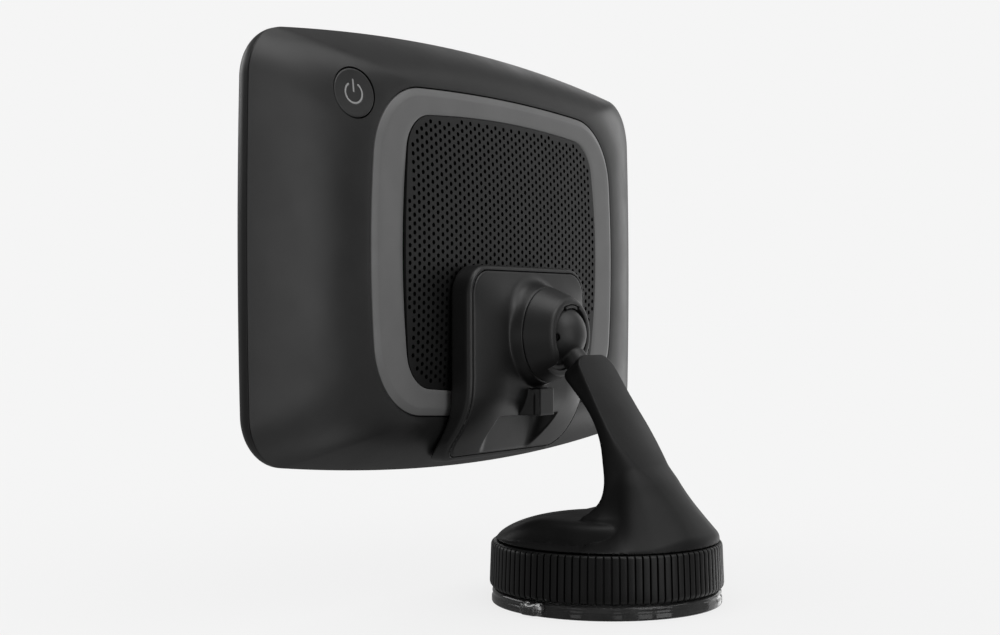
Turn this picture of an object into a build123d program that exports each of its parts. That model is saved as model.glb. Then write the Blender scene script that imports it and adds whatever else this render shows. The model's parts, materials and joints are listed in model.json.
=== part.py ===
from build123d import *
from collections import namedtuple
import math
import os

# Portable GPS navigator on its suction windscreen mount, all in millimetres.
# X runs along the navigator's width, +Y points to its back, +Z is up.
# The origin is the middle of the suction cup's face, which lies on the glass.

os.makedirs("parts", exist_ok=True)

# ---------------------------------------------------------------- driving dimensions
NAV_Z = 87.35          # height of the navigator's middle
CREASE_Y = -42.3       # parting plane between back cover and front bezel
BEZEL_DEPTH = 5.4
BEZEL_EDGE = 4.2       # rounding of the bezel's front edge
SCREEN_Y = CREASE_Y - BEZEL_DEPTH
COVER_TOP_Y = -31.0    # back cover beside the trim ring
COVER_WALL = 1.8
COVER_POWER = 1.8      # how the cover falls away towards the crease
TRIM_FACE_Y = -30.2
GRILLE_APEX_Y = -29.0
GRILLE_APEX_Z = 88.7
GRILLE_RADIUS_X = 2008.0
GRILLE_RADIUS_Z = 528.0
GRILLE_THICKNESS = 0.8

BUTTON_CENTRE = (59.5, -32.5, 123.7)
BUTTON_NORMAL = (0.217, 1.0, 0.138)
BUTTON_RADIUS = 5.95
BUTTON_GAP = 0.3

BALL_Y = -15.0
BALL_Z = 66.8
BALL_RADIUS = 8.0
NECK_RADIUS = 2.6
NECK_DROP = 39.5       # degrees below the horizontal
SEAT_INNER = 8.06
SEAT_OUTER = 9.0
SEAT_POCKET = 9.12

CLIP_FACE_Y = -22.6
CLIP_BACK_Y = -28.6
CLIP_TOP_Z = 84.5
CLIP_BOTTOM_Z = 34.6
CLIP_HALF_WIDTH = 27.2
CLIP_RIM = 1.2         # width of the housing's rim around the front cover
CLIP_SEAM = 0.2

CUP_RADIUS = 28.5
RING_RADIUS = 29.5
RING_INNER = 25.7
RING_BOTTOM = 3.8
RING_TOP = 15.2
RIB_COUNT = 98
BASE_WALL_RADIUS = 25.4
SKIRT_RADIUS = 28.4

Outline = namedtuple("Outline", "half_width half_height top_rise side_rise corner")
CREASE = Outline(84.9, 55.05, 5.8, 1.0, 12.5)
COVER_HOLE = Outline(55.6, 41.5, 2.3, 3.1, 19.3)
TRIM_EDGE = Outline(55.3, 41.2, 2.3, 3.1, 19.0)
GRILLE_EDGE = Outline(44.1, 35.1, 2.1, 2.7, 10.0)


# ---------------------------------------------------------------- shared shapes
def shrunk(outline, inset):
    """The same outline, moved inwards all round."""
    return outline._replace(
        half_width=outline.half_width - inset,
        half_height=outline.half_height - inset,
        corner=outline.corner - inset,
    )


def between(inner, outer, share):
    """An outline part of the way from one to another."""
    return Outline(*(low + (high - low) * share for low, high in zip(inner, outer)))


def bulged(outline):
    """A rounded rectangle whose four sides bow outwards."""
    corner_x = outline.half_width - outline.side_rise
    corner_z = outline.half_height - outline.top_rise
    with BuildSketch() as shape:
        with BuildLine():
            ThreePointArc((-corner_x, corner_z), (0, outline.half_height), (corner_x, corner_z))
            ThreePointArc((corner_x, corner_z), (outline.half_width, 0), (corner_x, -corner_z))
            ThreePointArc((corner_x, -corner_z), (0, -outline.half_height), (-corner_x, -corner_z))
            ThreePointArc((-corner_x, -corner_z), (-outline.half_width, 0), (-corner_x, corner_z))
        make_face()
        fillet(shape.vertices(), outline.corner)
    return shape.sketch


def screen_plane(y, z=NAV_Z):
    """A plane across the object at y; its normal points to the screen side."""
    return Plane(origin=(0, y, z), x_dir=(1, 0, 0), z_dir=(0, -1, 0))


def cover_y(share):
    """Depth of the back cover, from the trim ring (0) to the crease (1)."""
    return COVER_TOP_Y + (CREASE_Y - COVER_TOP_Y) * share**COVER_POWER


# ---------------------------------------------------------------- navigator: casing
COVER_SHARES = (0.0, 0.2, 0.45, 0.72, 1.0)
POST_PLACES = [(-74.5, -24), (74.5, -24), (-74.5, 24), (74.5, 24)]
button_plane = Plane(origin=BUTTON_CENTRE, z_dir=BUTTON_NORMAL)

with BuildPart() as back_cover:
    for share in COVER_SHARES:
        with BuildSketch(screen_plane(cover_y(share))):
            add(bulged(between(COVER_HOLE, CREASE, share)))
    loft()
    for share in COVER_SHARES:
        with BuildSketch(screen_plane(cover_y(share) - COVER_WALL)):
            add(bulged(shrunk(between(COVER_HOLE, CREASE, share), COVER_WALL)))
    loft(mode=Mode.SUBTRACT)
    with BuildSketch(screen_plane(COVER_TOP_Y + 1)):
        add(bulged(COVER_HOLE))
    extrude(amount=6, mode=Mode.SUBTRACT)
    with BuildSketch(screen_plane(CREASE_Y)):
        with Locations(*POST_PLACES):
            Circle(2.6)
    extrude(amount=-4.7)
    with BuildSketch(screen_plane(CREASE_Y)):
        with Locations(*POST_PLACES):
            Circle(0.9)
    extrude(amount=-4.2, mode=Mode.SUBTRACT)
    with BuildSketch(button_plane):
        Circle(BUTTON_RADIUS + BUTTON_GAP)
    extrude(amount=4, both=True, mode=Mode.SUBTRACT)
back_cover.part.label = "back_cover"

GLASS_INSET = 4.4
GLASS_THICKNESS = 1.1
WINDOW_INSET = 8.0

with BuildPart() as front_bezel:
    with BuildSketch(screen_plane(CREASE_Y - 0.05)):
        add(bulged(CREASE))
    extrude(amount=BEZEL_DEPTH - 0.05)
    fillet(front_bezel.faces().sort_by(Axis.Y)[0].edges(), BEZEL_EDGE)
    with BuildSketch(screen_plane(CREASE_Y)):
        add(bulged(shrunk(CREASE, 2.0)))
    extrude(amount=3.0, mode=Mode.SUBTRACT)
    with BuildSketch(screen_plane(CREASE_Y)):
        add(bulged(shrunk(CREASE, WINDOW_INSET)))
    extrude(amount=BEZEL_DEPTH, mode=Mode.SUBTRACT)
    with BuildSketch(screen_plane(SCREEN_Y)):
        add(bulged(shrunk(CREASE, GLASS_INSET)))
    extrude(amount=-GLASS_THICKNESS, mode=Mode.SUBTRACT)
front_bezel.part.label = "front_bezel"

with BuildPart() as front_glass:
    with BuildSketch(screen_plane(SCREEN_Y)):
        add(bulged(shrunk(CREASE, GLASS_INSET + 0.15)))
    extrude(amount=-GLASS_THICKNESS)
front_glass.part.label = "front_glass"

with BuildPart() as display_panel:
    with BuildSketch(screen_plane(SCREEN_Y + GLASS_THICKNESS + 0.1)):
        RectangleRounded(140, 79, 1.5)
    extrude(amount=-2.6)
display_panel.part.label = "display_panel"

FRAME_Y = CREASE_Y - 1.4
with BuildPart() as mid_frame:
    with BuildSketch(screen_plane(FRAME_Y)):
        add(bulged(shrunk(CREASE, 2.6)))
        with Locations((0, 0)):
            RectangleRounded(120, 52, 4, mode=Mode.SUBTRACT)
        with Locations(*POST_PLACES):
            Circle(1.3, mode=Mode.SUBTRACT)
    extrude(amount=-1.3)
    with BuildSketch(screen_plane(FRAME_Y)):
        with Locations((57.9, 35.2)):
            Circle(4.0)
    extrude(amount=-4.3)
mid_frame.part.label = "mid_frame"

with BuildPart() as housing_screws:
    with BuildSketch(screen_plane(FRAME_Y)):
        with Locations(*POST_PLACES):
            Circle(2.1)
    extrude(amount=1.0)
    with BuildSketch(screen_plane(FRAME_Y)):
        with Locations(*POST_PLACES):
            Circle(0.85)
    extrude(amount=-5.2)
housing_screws.part.label = "housing_screws"

TRIM_BACK_Y = -34.0
with BuildPart() as trim_ring:
    with BuildSketch(screen_plane(TRIM_FACE_Y)):
        add(bulged(TRIM_EDGE))
    extrude(amount=TRIM_FACE_Y - TRIM_BACK_Y)
    face_edges = trim_ring.faces().sort_by(Axis.Y)[-1].edges()
    chamfer(face_edges, length=0.75, length2=1.7)
    with BuildSketch(screen_plane(TRIM_FACE_Y)):
        add(bulged(GRILLE_EDGE))
    extrude(amount=TRIM_FACE_Y - TRIM_BACK_Y, mode=Mode.SUBTRACT)
trim_ring.part.label = "trim_ring"

# The grille is a shallow dome: one arc swung round a distant upright axis.
with BuildPart() as speaker_grille:
    with BuildSketch(Plane.YZ):
        with BuildLine():
            sag = GRILLE_RADIUS_Z - math.sqrt(GRILLE_RADIUS_Z**2 - 45.0**2)
            low = GRILLE_APEX_Z - 45.0
            high = GRILLE_APEX_Z + 45.0
            back = GRILLE_APEX_Y - GRILLE_THICKNESS
            ThreePointArc((GRILLE_APEX_Y - sag, low), (GRILLE_APEX_Y, GRILLE_APEX_Z),
                          (GRILLE_APEX_Y - sag, high))
            Line((GRILLE_APEX_Y - sag, high), (back - sag, high))
            ThreePointArc((back - sag, high), (back, GRILLE_APEX_Z), (back - sag, low))
            Line((back - sag, low), (GRILLE_APEX_Y - sag, low))
        make_face()
    revolve(axis=Axis((0, GRILLE_APEX_Y - GRILLE_RADIUS_X, 0), (0, 0, 1)))
    with BuildSketch(screen_plane(GRILLE_APEX_Y + 1)):
        add(bulged(shrunk(GRILLE_EDGE, 0.12)))
    extrude(amount=8, mode=Mode.INTERSECT)
speaker_grille.part.label = "speaker_grille"

# ---------------------------------------------------------------- navigator: inside
with BuildPart() as speaker_driver:
    with BuildSketch(screen_plane(-33.6, NAV_Z + 5)):
        RectangleRounded(58, 36, 9)
    extrude(amount=2.0)
    with BuildSketch(screen_plane(-35.6, NAV_Z + 5)):
        Ellipse(22, 14)
    extrude(amount=2.6)
    with BuildSketch(screen_plane(-33.6, NAV_Z + 5)):
        Ellipse(20, 13)
    extrude(amount=1.6, mode=Mode.SUBTRACT)
speaker_driver.part.label = "speaker_driver"

with BuildPart() as speaker_gasket:
    with BuildSketch(screen_plane(-33.0, NAV_Z + 5)):
        RectangleRounded(57, 35, 8.5)
        RectangleRounded(50, 30, 8, mode=Mode.SUBTRACT)
    extrude(amount=0.6)
speaker_gasket.part.label = "speaker_gasket"

BOARD_Y = -42.2
with BuildPart() as main_board:
    with BuildSketch(screen_plane(BOARD_Y)):
        RectangleRounded(118, 50, 2)
    extrude(amount=-1.1)
    with BuildSketch(screen_plane(BOARD_Y + 1.1)):
        with Locations((4, 8)):
            Rectangle(14, 14)
        with Locations((24, 8), (24, -8)):
            Rectangle(10, 12)
        with Locations((44, 2)):
            Rectangle(12, 9)
    extrude(amount=-1.2)
main_board.part.label = "main_board"

with BuildPart() as battery:
    with BuildSketch(screen_plane(BOARD_Y + 1.2)):
        with Locations((-48, 2)):
            RectangleRounded(24, 46, 1.5)
    extrude(amount=-4.4)
    fillet(battery.edges().filter_by(Axis.Z), 1.2)
battery.part.label = "battery"

with BuildPart() as gps_antenna:
    with BuildSketch(screen_plane(FRAME_Y + 1.35)):
        with Locations((20, 40)):
            Rectangle(19, 11)
    extrude(amount=-3.6)
    with BuildSketch(screen_plane(FRAME_Y + 4.95)):
        with Locations((20, 40)):
            Rectangle(16, 9)
    extrude(amount=-0.3)
gps_antenna.part.label = "gps_antenna"

PAD_X = [-5.08, -2.54, 0, 2.54, 5.08]
PAD_Z = 49.6
with BuildPart() as contact_pads:
    with BuildSketch(screen_plane(TRIM_FACE_Y + 0.1, PAD_Z)):
        with Locations(*[(x, 0) for x in PAD_X]):
            RectangleRounded(1.7, 2.6, 0.4)
    extrude(amount=0.1)
contact_pads.part.label = "contact_pads"

with BuildPart() as keeper_plates:
    with BuildSketch(screen_plane(TRIM_BACK_Y, 52.2)):
        with Locations((-20, 0), (20, 0)):
            RectangleRounded(14, 10, 1)
    extrude(amount=0.9)
keeper_plates.part.label = "keeper_plates"

# ---------------------------------------------------------------- navigator: power button
with BuildPart() as power_button:
    with BuildSketch(button_plane):
        Circle(BUTTON_RADIUS)
    extrude(amount=-3.0)
    with BuildSketch(button_plane.offset(-3.0)):
        Circle(BUTTON_RADIUS + 0.9)
    extrude(amount=-0.6)
power_button.part.label = "power_button"

with BuildPart() as button_seal:
    with BuildSketch(button_plane.offset(-4.2)):
        Circle(4.6)
    extrude(amount=-0.8)
    with BuildSketch(button_plane.offset(-4.2)):
        Circle(2.4)
    extrude(amount=0.05)
button_seal.part.label = "button_seal"

with BuildPart() as button_switch:
    with BuildSketch(button_plane.offset(-5.0)):
        Rectangle(6.2, 6.2)
    extrude(amount=-1.2)
button_switch.part.label = "button_switch"

# ---------------------------------------------------------------- clip on the navigator's back
CLIP_MIDDLE_Z = (CLIP_TOP_Z + CLIP_BOTTOM_Z) / 2
CLIP_HEIGHT = CLIP_TOP_Z - CLIP_BOTTOM_Z


def clip_layer(front, back):
    """Side profile of the clip between two depths, measured back from its front face."""
    with BuildSketch() as shape:
        with BuildLine():
            top = CLIP_TOP_Z + 1
            Line((CLIP_FACE_Y - back, top), (CLIP_FACE_Y - front, top))
            Line((CLIP_FACE_Y - front, top), (CLIP_FACE_Y - front, 55.5))
            Spline((CLIP_FACE_Y - front, 55.5), (-24.0 - front, 47.2), (-28.3 - front, 40.0),
                   (-33.8 - front, 33.6), tangents=((0, -1), (-1, -1)))
            Line((-33.8 - front, 33.6), (-33.8 - back, 33.6))
            Spline((-33.8 - back, 33.6), (-28.3 - back, 40.0), (-24.0 - back, 47.2),
                   (CLIP_FACE_Y - back, 55.5), tangents=((1, 1), (0, 1)))
            Line((CLIP_FACE_Y - back, 55.5), (CLIP_FACE_Y - back, top))
        make_face()
    return shape.sketch


def clip_block_profile(back_shift):
    """Side profile of the whole clip, with the back face that hugs the navigator."""
    with BuildSketch() as shape:
        with BuildLine():
            top = CLIP_TOP_Z + 1
            Line((CLIP_BACK_Y + back_shift, top), (CLIP_FACE_Y, top))
            Line((CLIP_FACE_Y, top), (CLIP_FACE_Y, 55.5))
            Spline((CLIP_FACE_Y, 55.5), (-24.0, 47.2), (-28.3, 40.0), (-33.8, 33.6),
                   tangents=((0, -1), (-1, -1)))
            Polyline((-33.8, 33.6), (-38.6 + back_shift, 34.0), (-38.0 + back_shift, 35.0),
                     (-35.0 + back_shift, 37.6), (-32.9 + back_shift, 40.0),
                     (-31.0 + back_shift, 43.0), (-29.6 + back_shift, 46.0),
                     (CLIP_BACK_Y + back_shift, 50.0), (CLIP_BACK_Y + back_shift, top))
        make_face()
    return shape.sketch


def clip_outline(inset):
    """The clip seen from behind: small corners below, larger ones above."""
    with BuildSketch() as shape:
        Rectangle(2 * (CLIP_HALF_WIDTH - inset), CLIP_HEIGHT - 2 * inset)
        fillet(shape.vertices().group_by(Axis.Y)[-1], 8.0 - inset)
        fillet(shape.vertices().group_by(Axis.Y)[0], 6.0 - inset)
    return shape.sketch


CLIP_PLANE = screen_plane(CLIP_FACE_Y + 1, CLIP_MIDDLE_Z)
CLIP_DEPTH = 18
COVER_LAYER = 1.9
SOCKET_PLANE = Plane(origin=(0, BALL_Y, BALL_Z), x_dir=(1, 0, 0), z_dir=(0, 1, 0))
BOSS_TOP_Y = -17.2
BOSS_FLARE = 15.4
BOSS_RADIUS = 13.4
BOSS_TOP_RADIUS = 12.5
MAGNET_Z = 54.4
MAGNET_RADIUS = 3.2
CLIP_SCREW_PLACES = [(-20, 15), (20, 15), (-20, -12), (20, -12)]


SCOOP_HALF_WIDTH = 13.0
SCOOP_CEILING_Z = 45.8
SCOOP_FLOOR_Y = -28.7
SCOOP_DEPTH = 14.0
TURNING_PLANE = Plane(origin=(0, 0, BALL_Z), x_dir=(1, 0, 0), z_dir=(0, 0, 1))
SOCKET_AXIS = Axis((0, 0, BALL_Z), (0, 1, 0))

with BuildPart() as clip_housing:
    with BuildSketch(Plane.YZ):
        add(clip_block_profile(0))
    extrude(amount=CLIP_HALF_WIDTH + 1, both=True)
    with BuildSketch(CLIP_PLANE):
        add(clip_outline(0))
    extrude(amount=CLIP_DEPTH, mode=Mode.INTERSECT)
    # the pocket that takes the front cover
    with BuildPart(mode=Mode.PRIVATE) as front_pocket:
        with BuildSketch(Plane.YZ):
            add(clip_layer(-1.0, COVER_LAYER + 0.1))
        extrude(amount=CLIP_HALF_WIDTH, both=True)
        with BuildSketch(CLIP_PLANE):
            add(clip_outline(CLIP_RIM))
        extrude(amount=CLIP_DEPTH, mode=Mode.INTERSECT)
    add(front_pocket.part, mode=Mode.SUBTRACT)
    # the hollow behind it, for the dock board
    with BuildSketch(screen_plane(CLIP_FACE_Y, 55)):
        RectangleRounded(30, 12, 2)
    extrude(amount=4.6, mode=Mode.SUBTRACT)
    with BuildSketch(Plane.XY.offset(SCOOP_CEILING_Z)):
        with Locations((0, SCOOP_FLOOR_Y + SCOOP_DEPTH / 2)):
            RectangleRounded(2 * SCOOP_HALF_WIDTH, SCOOP_DEPTH, 4.5)
    extrude(amount=-14, mode=Mode.SUBTRACT)
    with BuildSketch(screen_plane(CLIP_BACK_Y - 2, CLIP_MIDDLE_Z)):
        with Locations(*CLIP_SCREW_PLACES):
            Circle(0.9)
    extrude(amount=-6, mode=Mode.SUBTRACT)
    with BuildSketch(screen_plane(CLIP_BACK_Y + 1.2, CLIP_MIDDLE_Z)):
        with Locations(*CLIP_SCREW_PLACES):
            Circle(2.0)
    extrude(amount=2, mode=Mode.SUBTRACT)
    with BuildSketch(screen_plane(CLIP_BACK_Y + 2.6, MAGNET_Z)):
        with Locations((-20, 0), (20, 0)):
            Circle(MAGNET_RADIUS + 0.1)
    extrude(amount=4, mode=Mode.SUBTRACT)
    with BuildSketch(screen_plane(CLIP_BACK_Y + 4, PAD_Z)):
        with Locations(*[(x, 0) for x in PAD_X]):
            Circle(0.62)
    extrude(amount=8, mode=Mode.SUBTRACT)
clip_housing.part.label = "clip_housing"

with BuildPart() as clip_cover:
    with BuildSketch(Plane.YZ):
        add(clip_layer(0, COVER_LAYER))
    extrude(amount=CLIP_HALF_WIDTH, both=True)
    with BuildSketch(CLIP_PLANE):
        add(clip_outline(CLIP_RIM + CLIP_SEAM))
    extrude(amount=CLIP_DEPTH, mode=Mode.INTERSECT)
    # flared boss that carries the ball socket
    with BuildSketch(TURNING_PLANE):
        with BuildLine():
            Line((0, CLIP_FACE_Y - 1), (BOSS_FLARE, CLIP_FACE_Y - 1))
            Line((BOSS_FLARE, CLIP_FACE_Y - 1), (BOSS_FLARE, CLIP_FACE_Y))
            RadiusArc((BOSS_FLARE, CLIP_FACE_Y), (BOSS_RADIUS, -20.0), 3.4)
            Line((BOSS_RADIUS, -20.0), (BOSS_TOP_RADIUS, BOSS_TOP_Y))
            Line((BOSS_TOP_RADIUS, BOSS_TOP_Y), (0, BOSS_TOP_Y))
            Line((0, BOSS_TOP_Y), (0, CLIP_FACE_Y - 1))
        make_face()
    revolve(axis=SOCKET_AXIS)
    # hood over the charging socket, with a rounded bar down its middle
    with BuildSketch(Plane.XY.offset(SCOOP_CEILING_Z)):
        with BuildLine():
            Polyline((-9.0, -26), (-7.6, -19.2), (-3.9, -18.6), (-3.7, -17.7))
            ThreePointArc((-3.7, -17.7), (0, -16.6), (3.7, -17.7))
            Polyline((3.7, -17.7), (3.9, -18.6), (7.6, -19.2), (9.0, -26), (-9.0, -26))
        make_face()
    extrude(amount=7.4)
    # the scoop below it, where a cable's plug comes in from underneath
    with BuildSketch(Plane.XY.offset(SCOOP_CEILING_Z)):
        with Locations((0, SCOOP_FLOOR_Y + SCOOP_DEPTH / 2)):
            RectangleRounded(2 * SCOOP_HALF_WIDTH, SCOOP_DEPTH, 4.5)
    extrude(amount=-14, mode=Mode.SUBTRACT)
    with BuildSketch(Plane.YZ):
        add(clip_layer(COVER_LAYER, 8.0))
    extrude(amount=CLIP_HALF_WIDTH, both=True, mode=Mode.SUBTRACT)
    # bore for the charging socket, open downwards
    with BuildSketch(Plane.XY.offset(SCOOP_CEILING_Z)):
        with Locations((0, -20.6)):
            Rectangle(8.0, 3.2)
    extrude(amount=5.6, mode=Mode.SUBTRACT)
    with Locations(SOCKET_PLANE):
        Sphere(SEAT_POCKET, mode=Mode.SUBTRACT)
    with BuildSketch(screen_plane(CLIP_FACE_Y - 4, CLIP_MIDDLE_Z)):
        with Locations(*CLIP_SCREW_PLACES):
            Circle(0.9)
    extrude(amount=-2.6, mode=Mode.SUBTRACT)
clip_cover.part.label = "clip_cover"

with BuildPart() as usb_port:
    with BuildSketch(Plane.XY.offset(SCOOP_CEILING_Z + 0.2)):
        with Locations((0, -20.6)):
            Rectangle(7.8, 3.0)
            Rectangle(6.9, 2.1, mode=Mode.SUBTRACT)
    extrude(amount=5.0)
    with BuildSketch(Plane.XY.offset(SCOOP_CEILING_Z + 4.6)):
        with Locations((0, -20.6)):
            Rectangle(7.8, 3.0)
    extrude(amount=0.6)
    with BuildSketch(Plane.XY.offset(SCOOP_CEILING_Z + 1.0)):
        with Locations((0, -20.6)):
            Rectangle(4.6, 0.6)
    extrude(amount=4.0)
usb_port.part.label = "usb_port"

with BuildPart() as dock_board:
    with BuildSketch(screen_plane(-25.4, 55)):
        RectangleRounded(29, 11, 1.5)
    extrude(amount=0.9)
dock_board.part.label = "dock_board"

with BuildPart() as dock_pins:
    with BuildSketch(screen_plane(-26.3, PAD_Z)):
        with Locations(*[(x, 0) for x in PAD_X]):
            Circle(0.55)
    extrude(amount=3.7)
dock_pins.part.label = "dock_pins"

with BuildPart() as clip_magnets:
    with BuildSketch(screen_plane(CLIP_BACK_Y + 2.5, MAGNET_Z)):
        with Locations((-20, 0), (20, 0)):
            Circle(MAGNET_RADIUS)
    extrude(amount=2.4)
clip_magnets.part.label = "clip_magnets"

with BuildPart() as clip_screws:
    with BuildSketch(screen_plane(CLIP_BACK_Y + 0.2, CLIP_MIDDLE_Z)):
        with Locations(*CLIP_SCREW_PLACES):
            Circle(1.9)
    extrude(amount=-1.0)
    with BuildSketch(screen_plane(CLIP_BACK_Y + 1.2, CLIP_MIDDLE_Z)):
        with Locations(*CLIP_SCREW_PLACES):
            Circle(0.85)
    extrude(amount=-3.2)
clip_screws.part.label = "clip_screws"

# ---------------------------------------------------------------- ball socket
COLLAR_FRONT_Y = -10.0
COLLAR_FRONT_RADIUS = 9.2
OPENING_RADIUS = 7.1
LIP_GAP = 0.25
POCKET_END_Y = -13.2
POCKET_MOUTH = math.sqrt(SEAT_POCKET**2 - (POCKET_END_Y - BALL_Y) ** 2)
with BuildPart() as socket_collar:
    with BuildSketch(TURNING_PLANE):
        with BuildLine():
            Polyline((0, BOSS_TOP_Y + 0.15), (BOSS_TOP_RADIUS - 0.1, BOSS_TOP_Y + 0.15),
                     (COLLAR_FRONT_RADIUS + 0.5, COLLAR_FRONT_Y - 0.7),
                     (COLLAR_FRONT_RADIUS, COLLAR_FRONT_Y), (0, COLLAR_FRONT_Y), close=True)
        make_face()
    revolve(axis=SOCKET_AXIS)
    # the lip lies close round the ball; the seats' pocket is wider and ends behind it
    with Locations(SOCKET_PLANE):
        Sphere(BALL_RADIUS + LIP_GAP, mode=Mode.SUBTRACT)
    with BuildSketch(screen_plane(COLLAR_FRONT_Y + 1, BALL_Z)):
        Circle(OPENING_RADIUS)
    extrude(amount=1.8, mode=Mode.SUBTRACT)
    with BuildSketch(TURNING_PLANE):
        with BuildLine():
            ThreePointArc((0, BALL_Y - SEAT_POCKET), (SEAT_POCKET, BALL_Y), (POCKET_MOUTH, POCKET_END_Y))
            Line((POCKET_MOUTH, POCKET_END_Y), (0, POCKET_END_Y))
            Line((0, POCKET_END_Y), (0, BALL_Y - SEAT_POCKET))
        make_face()
    revolve(axis=SOCKET_AXIS, mode=Mode.SUBTRACT)
    # relief below the opening, so that the ball's neck can swing
    with BuildSketch(screen_plane(COLLAR_FRONT_Y + 1, BALL_Z)):
        SlotCenterToCenter(7.6, 2 * 7.2, rotation=90)
        with Locations((0, 6)):
            Rectangle(20, 12, mode=Mode.SUBTRACT)
    extrude(amount=4.2, mode=Mode.SUBTRACT)
socket_collar.part.label = "socket_collar"


def ball_shell(start, stop):
    """Half section of a thin shell about the ball, between two angles from its back."""
    with BuildSketch() as shape:
        with BuildLine():
            def at(radius, degrees):
                angle = math.radians(degrees)
                return (radius * math.sin(angle), BALL_Y - radius * math.cos(angle))
            middle = (start + stop) / 2
            ThreePointArc(at(SEAT_INNER, start), at(SEAT_INNER, middle), at(SEAT_INNER, stop))
            Line(at(SEAT_INNER, stop), at(SEAT_OUTER, stop))
            ThreePointArc(at(SEAT_OUTER, stop), at(SEAT_OUTER, middle), at(SEAT_OUTER, start))
            Line(at(SEAT_OUTER, start), at(SEAT_INNER, start))
        make_face()
    return shape.sketch


with BuildPart() as rear_seat:
    with BuildSketch(TURNING_PLANE):
        add(ball_shell(12, 38))
    revolve(axis=SOCKET_AXIS)
rear_seat.part.label = "rear_seat"

with BuildPart() as front_seat:
    with BuildSketch(TURNING_PLANE):
        add(ball_shell(64, 98))
    revolve(axis=SOCKET_AXIS)
front_seat.part.label = "front_seat"

# ---------------------------------------------------------------- arm, base and ball
NECK_ANGLE = math.radians(NECK_DROP)
NECK_PLANE = Plane(
    origin=(0, BALL_Y, BALL_Z),
    x_dir=(1, 0, 0),
    z_dir=(0, math.cos(NECK_ANGLE), -math.sin(NECK_ANGLE)),
)
NECK_END = 13.0        # from the ball's middle, just inside the arm's end face
STEM_PLANE = Plane(origin=(0, -5.4, 58.8), x_dir=(1, 0, 0), z_dir=(0, 0.618, -0.786))
STEM_RADIUS = 1.5
STEM_LENGTH = 9.0
with BuildPart() as ball_stud:
    with Locations(NECK_PLANE):
        Sphere(BALL_RADIUS)
    with BuildSketch(NECK_PLANE):
        Circle(NECK_RADIUS)
    extrude(amount=NECK_END)
    with BuildSketch(STEM_PLANE):
        Circle(STEM_RADIUS)
    extrude(amount=STEM_LENGTH)
    with BuildSketch(Plane(origin=(0, BALL_Y, BALL_Z), z_dir=(0.835, 0.54, -0.08)).offset(5)):
        Circle(0.8)
    extrude(amount=5, mode=Mode.SUBTRACT)
ball_stud.part.label = "ball_stud"

ARM_TOP_HALF_WIDTH = 8.4
ARM_FOOT_HALF_WIDTH = 12.0
HUB_TOP_Z = 21.8
with BuildPart() as arm_base:
    with BuildSketch(Plane.YZ):
        with BuildLine():
            Polyline((5.2, 20.0), (27.4, 15.6), (21.9, 22.5), (13.6, 34.7), (7.8, 43.5),
                     (0.3, 55.0), (-3.0, 60.6), (-3.4, 61.2), (-7.6, 56.4), (-4.1, 52.6),
                     (-0.3, 48.4), (2.2, 44.8), (4.4, 40.0), (5.9, 34.0), (6.3, 29.0),
                     (5.2, 20.0))
        make_face()
    extrude(amount=ARM_FOOT_HALF_WIDTH, both=True)
    with BuildSketch(screen_plane(40, 0)):
        Polygon((-ARM_FOOT_HALF_WIDTH, 10), (ARM_FOOT_HALF_WIDTH, 10), (11, 35),
                (ARM_TOP_HALF_WIDTH, 62), (-ARM_TOP_HALF_WIDTH, 62), (-11, 35), align=None)
    extrude(amount=60, mode=Mode.INTERSECT)
    # hub and skirt under the arm
    with BuildSketch(Plane.XY.offset(15.4)):
        Circle(SKIRT_RADIUS)
    with BuildSketch(Plane.XY.offset(16.4)):
        Circle(26.4)
    loft()
    with BuildSketch(Plane.XY.offset(16.2)):
        with Locations((0, -2.6)):
            Ellipse(22.5, 23.4)
    with BuildSketch(Plane.XY.offset(19.6)):
        with Locations((0, -2.6)):
            Ellipse(20.0, 21.4)
    with BuildSketch(Plane.XY.offset(HUB_TOP_Z)):
        with Locations((0, -2.0)):
            Ellipse(9.0, 10.0)
    loft()
    # round wall inside the lock ring, and the guide for the core
    with BuildSketch(Plane.XY.offset(4.4)):
        Circle(BASE_WALL_RADIUS)
    extrude(amount=11.4)
    with BuildSketch(Plane.XY.offset(4.0)):
        Circle(23.2)
    extrude(amount=10.2, mode=Mode.SUBTRACT)
    with BuildSketch(Plane.XY.offset(9.4)):
        Circle(6.6)
    extrude(amount=5.0)
    with BuildSketch(Plane.XY.offset(4.0)):
        Circle(4.55)
    extrude(amount=14.6, mode=Mode.SUBTRACT)
    with BuildSketch(Plane.XY.offset(4.0)):
        Rectangle(60, 2.9)
    extrude(amount=9.6, mode=Mode.SUBTRACT)
    with BuildSketch(NECK_PLANE):
        Circle(NECK_RADIUS)
    extrude(amount=NECK_END, mode=Mode.SUBTRACT)
    with BuildSketch(STEM_PLANE):
        Circle(STEM_RADIUS)
    extrude(amount=STEM_LENGTH, mode=Mode.SUBTRACT)
arm_base.part.label = "arm_base"

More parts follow.
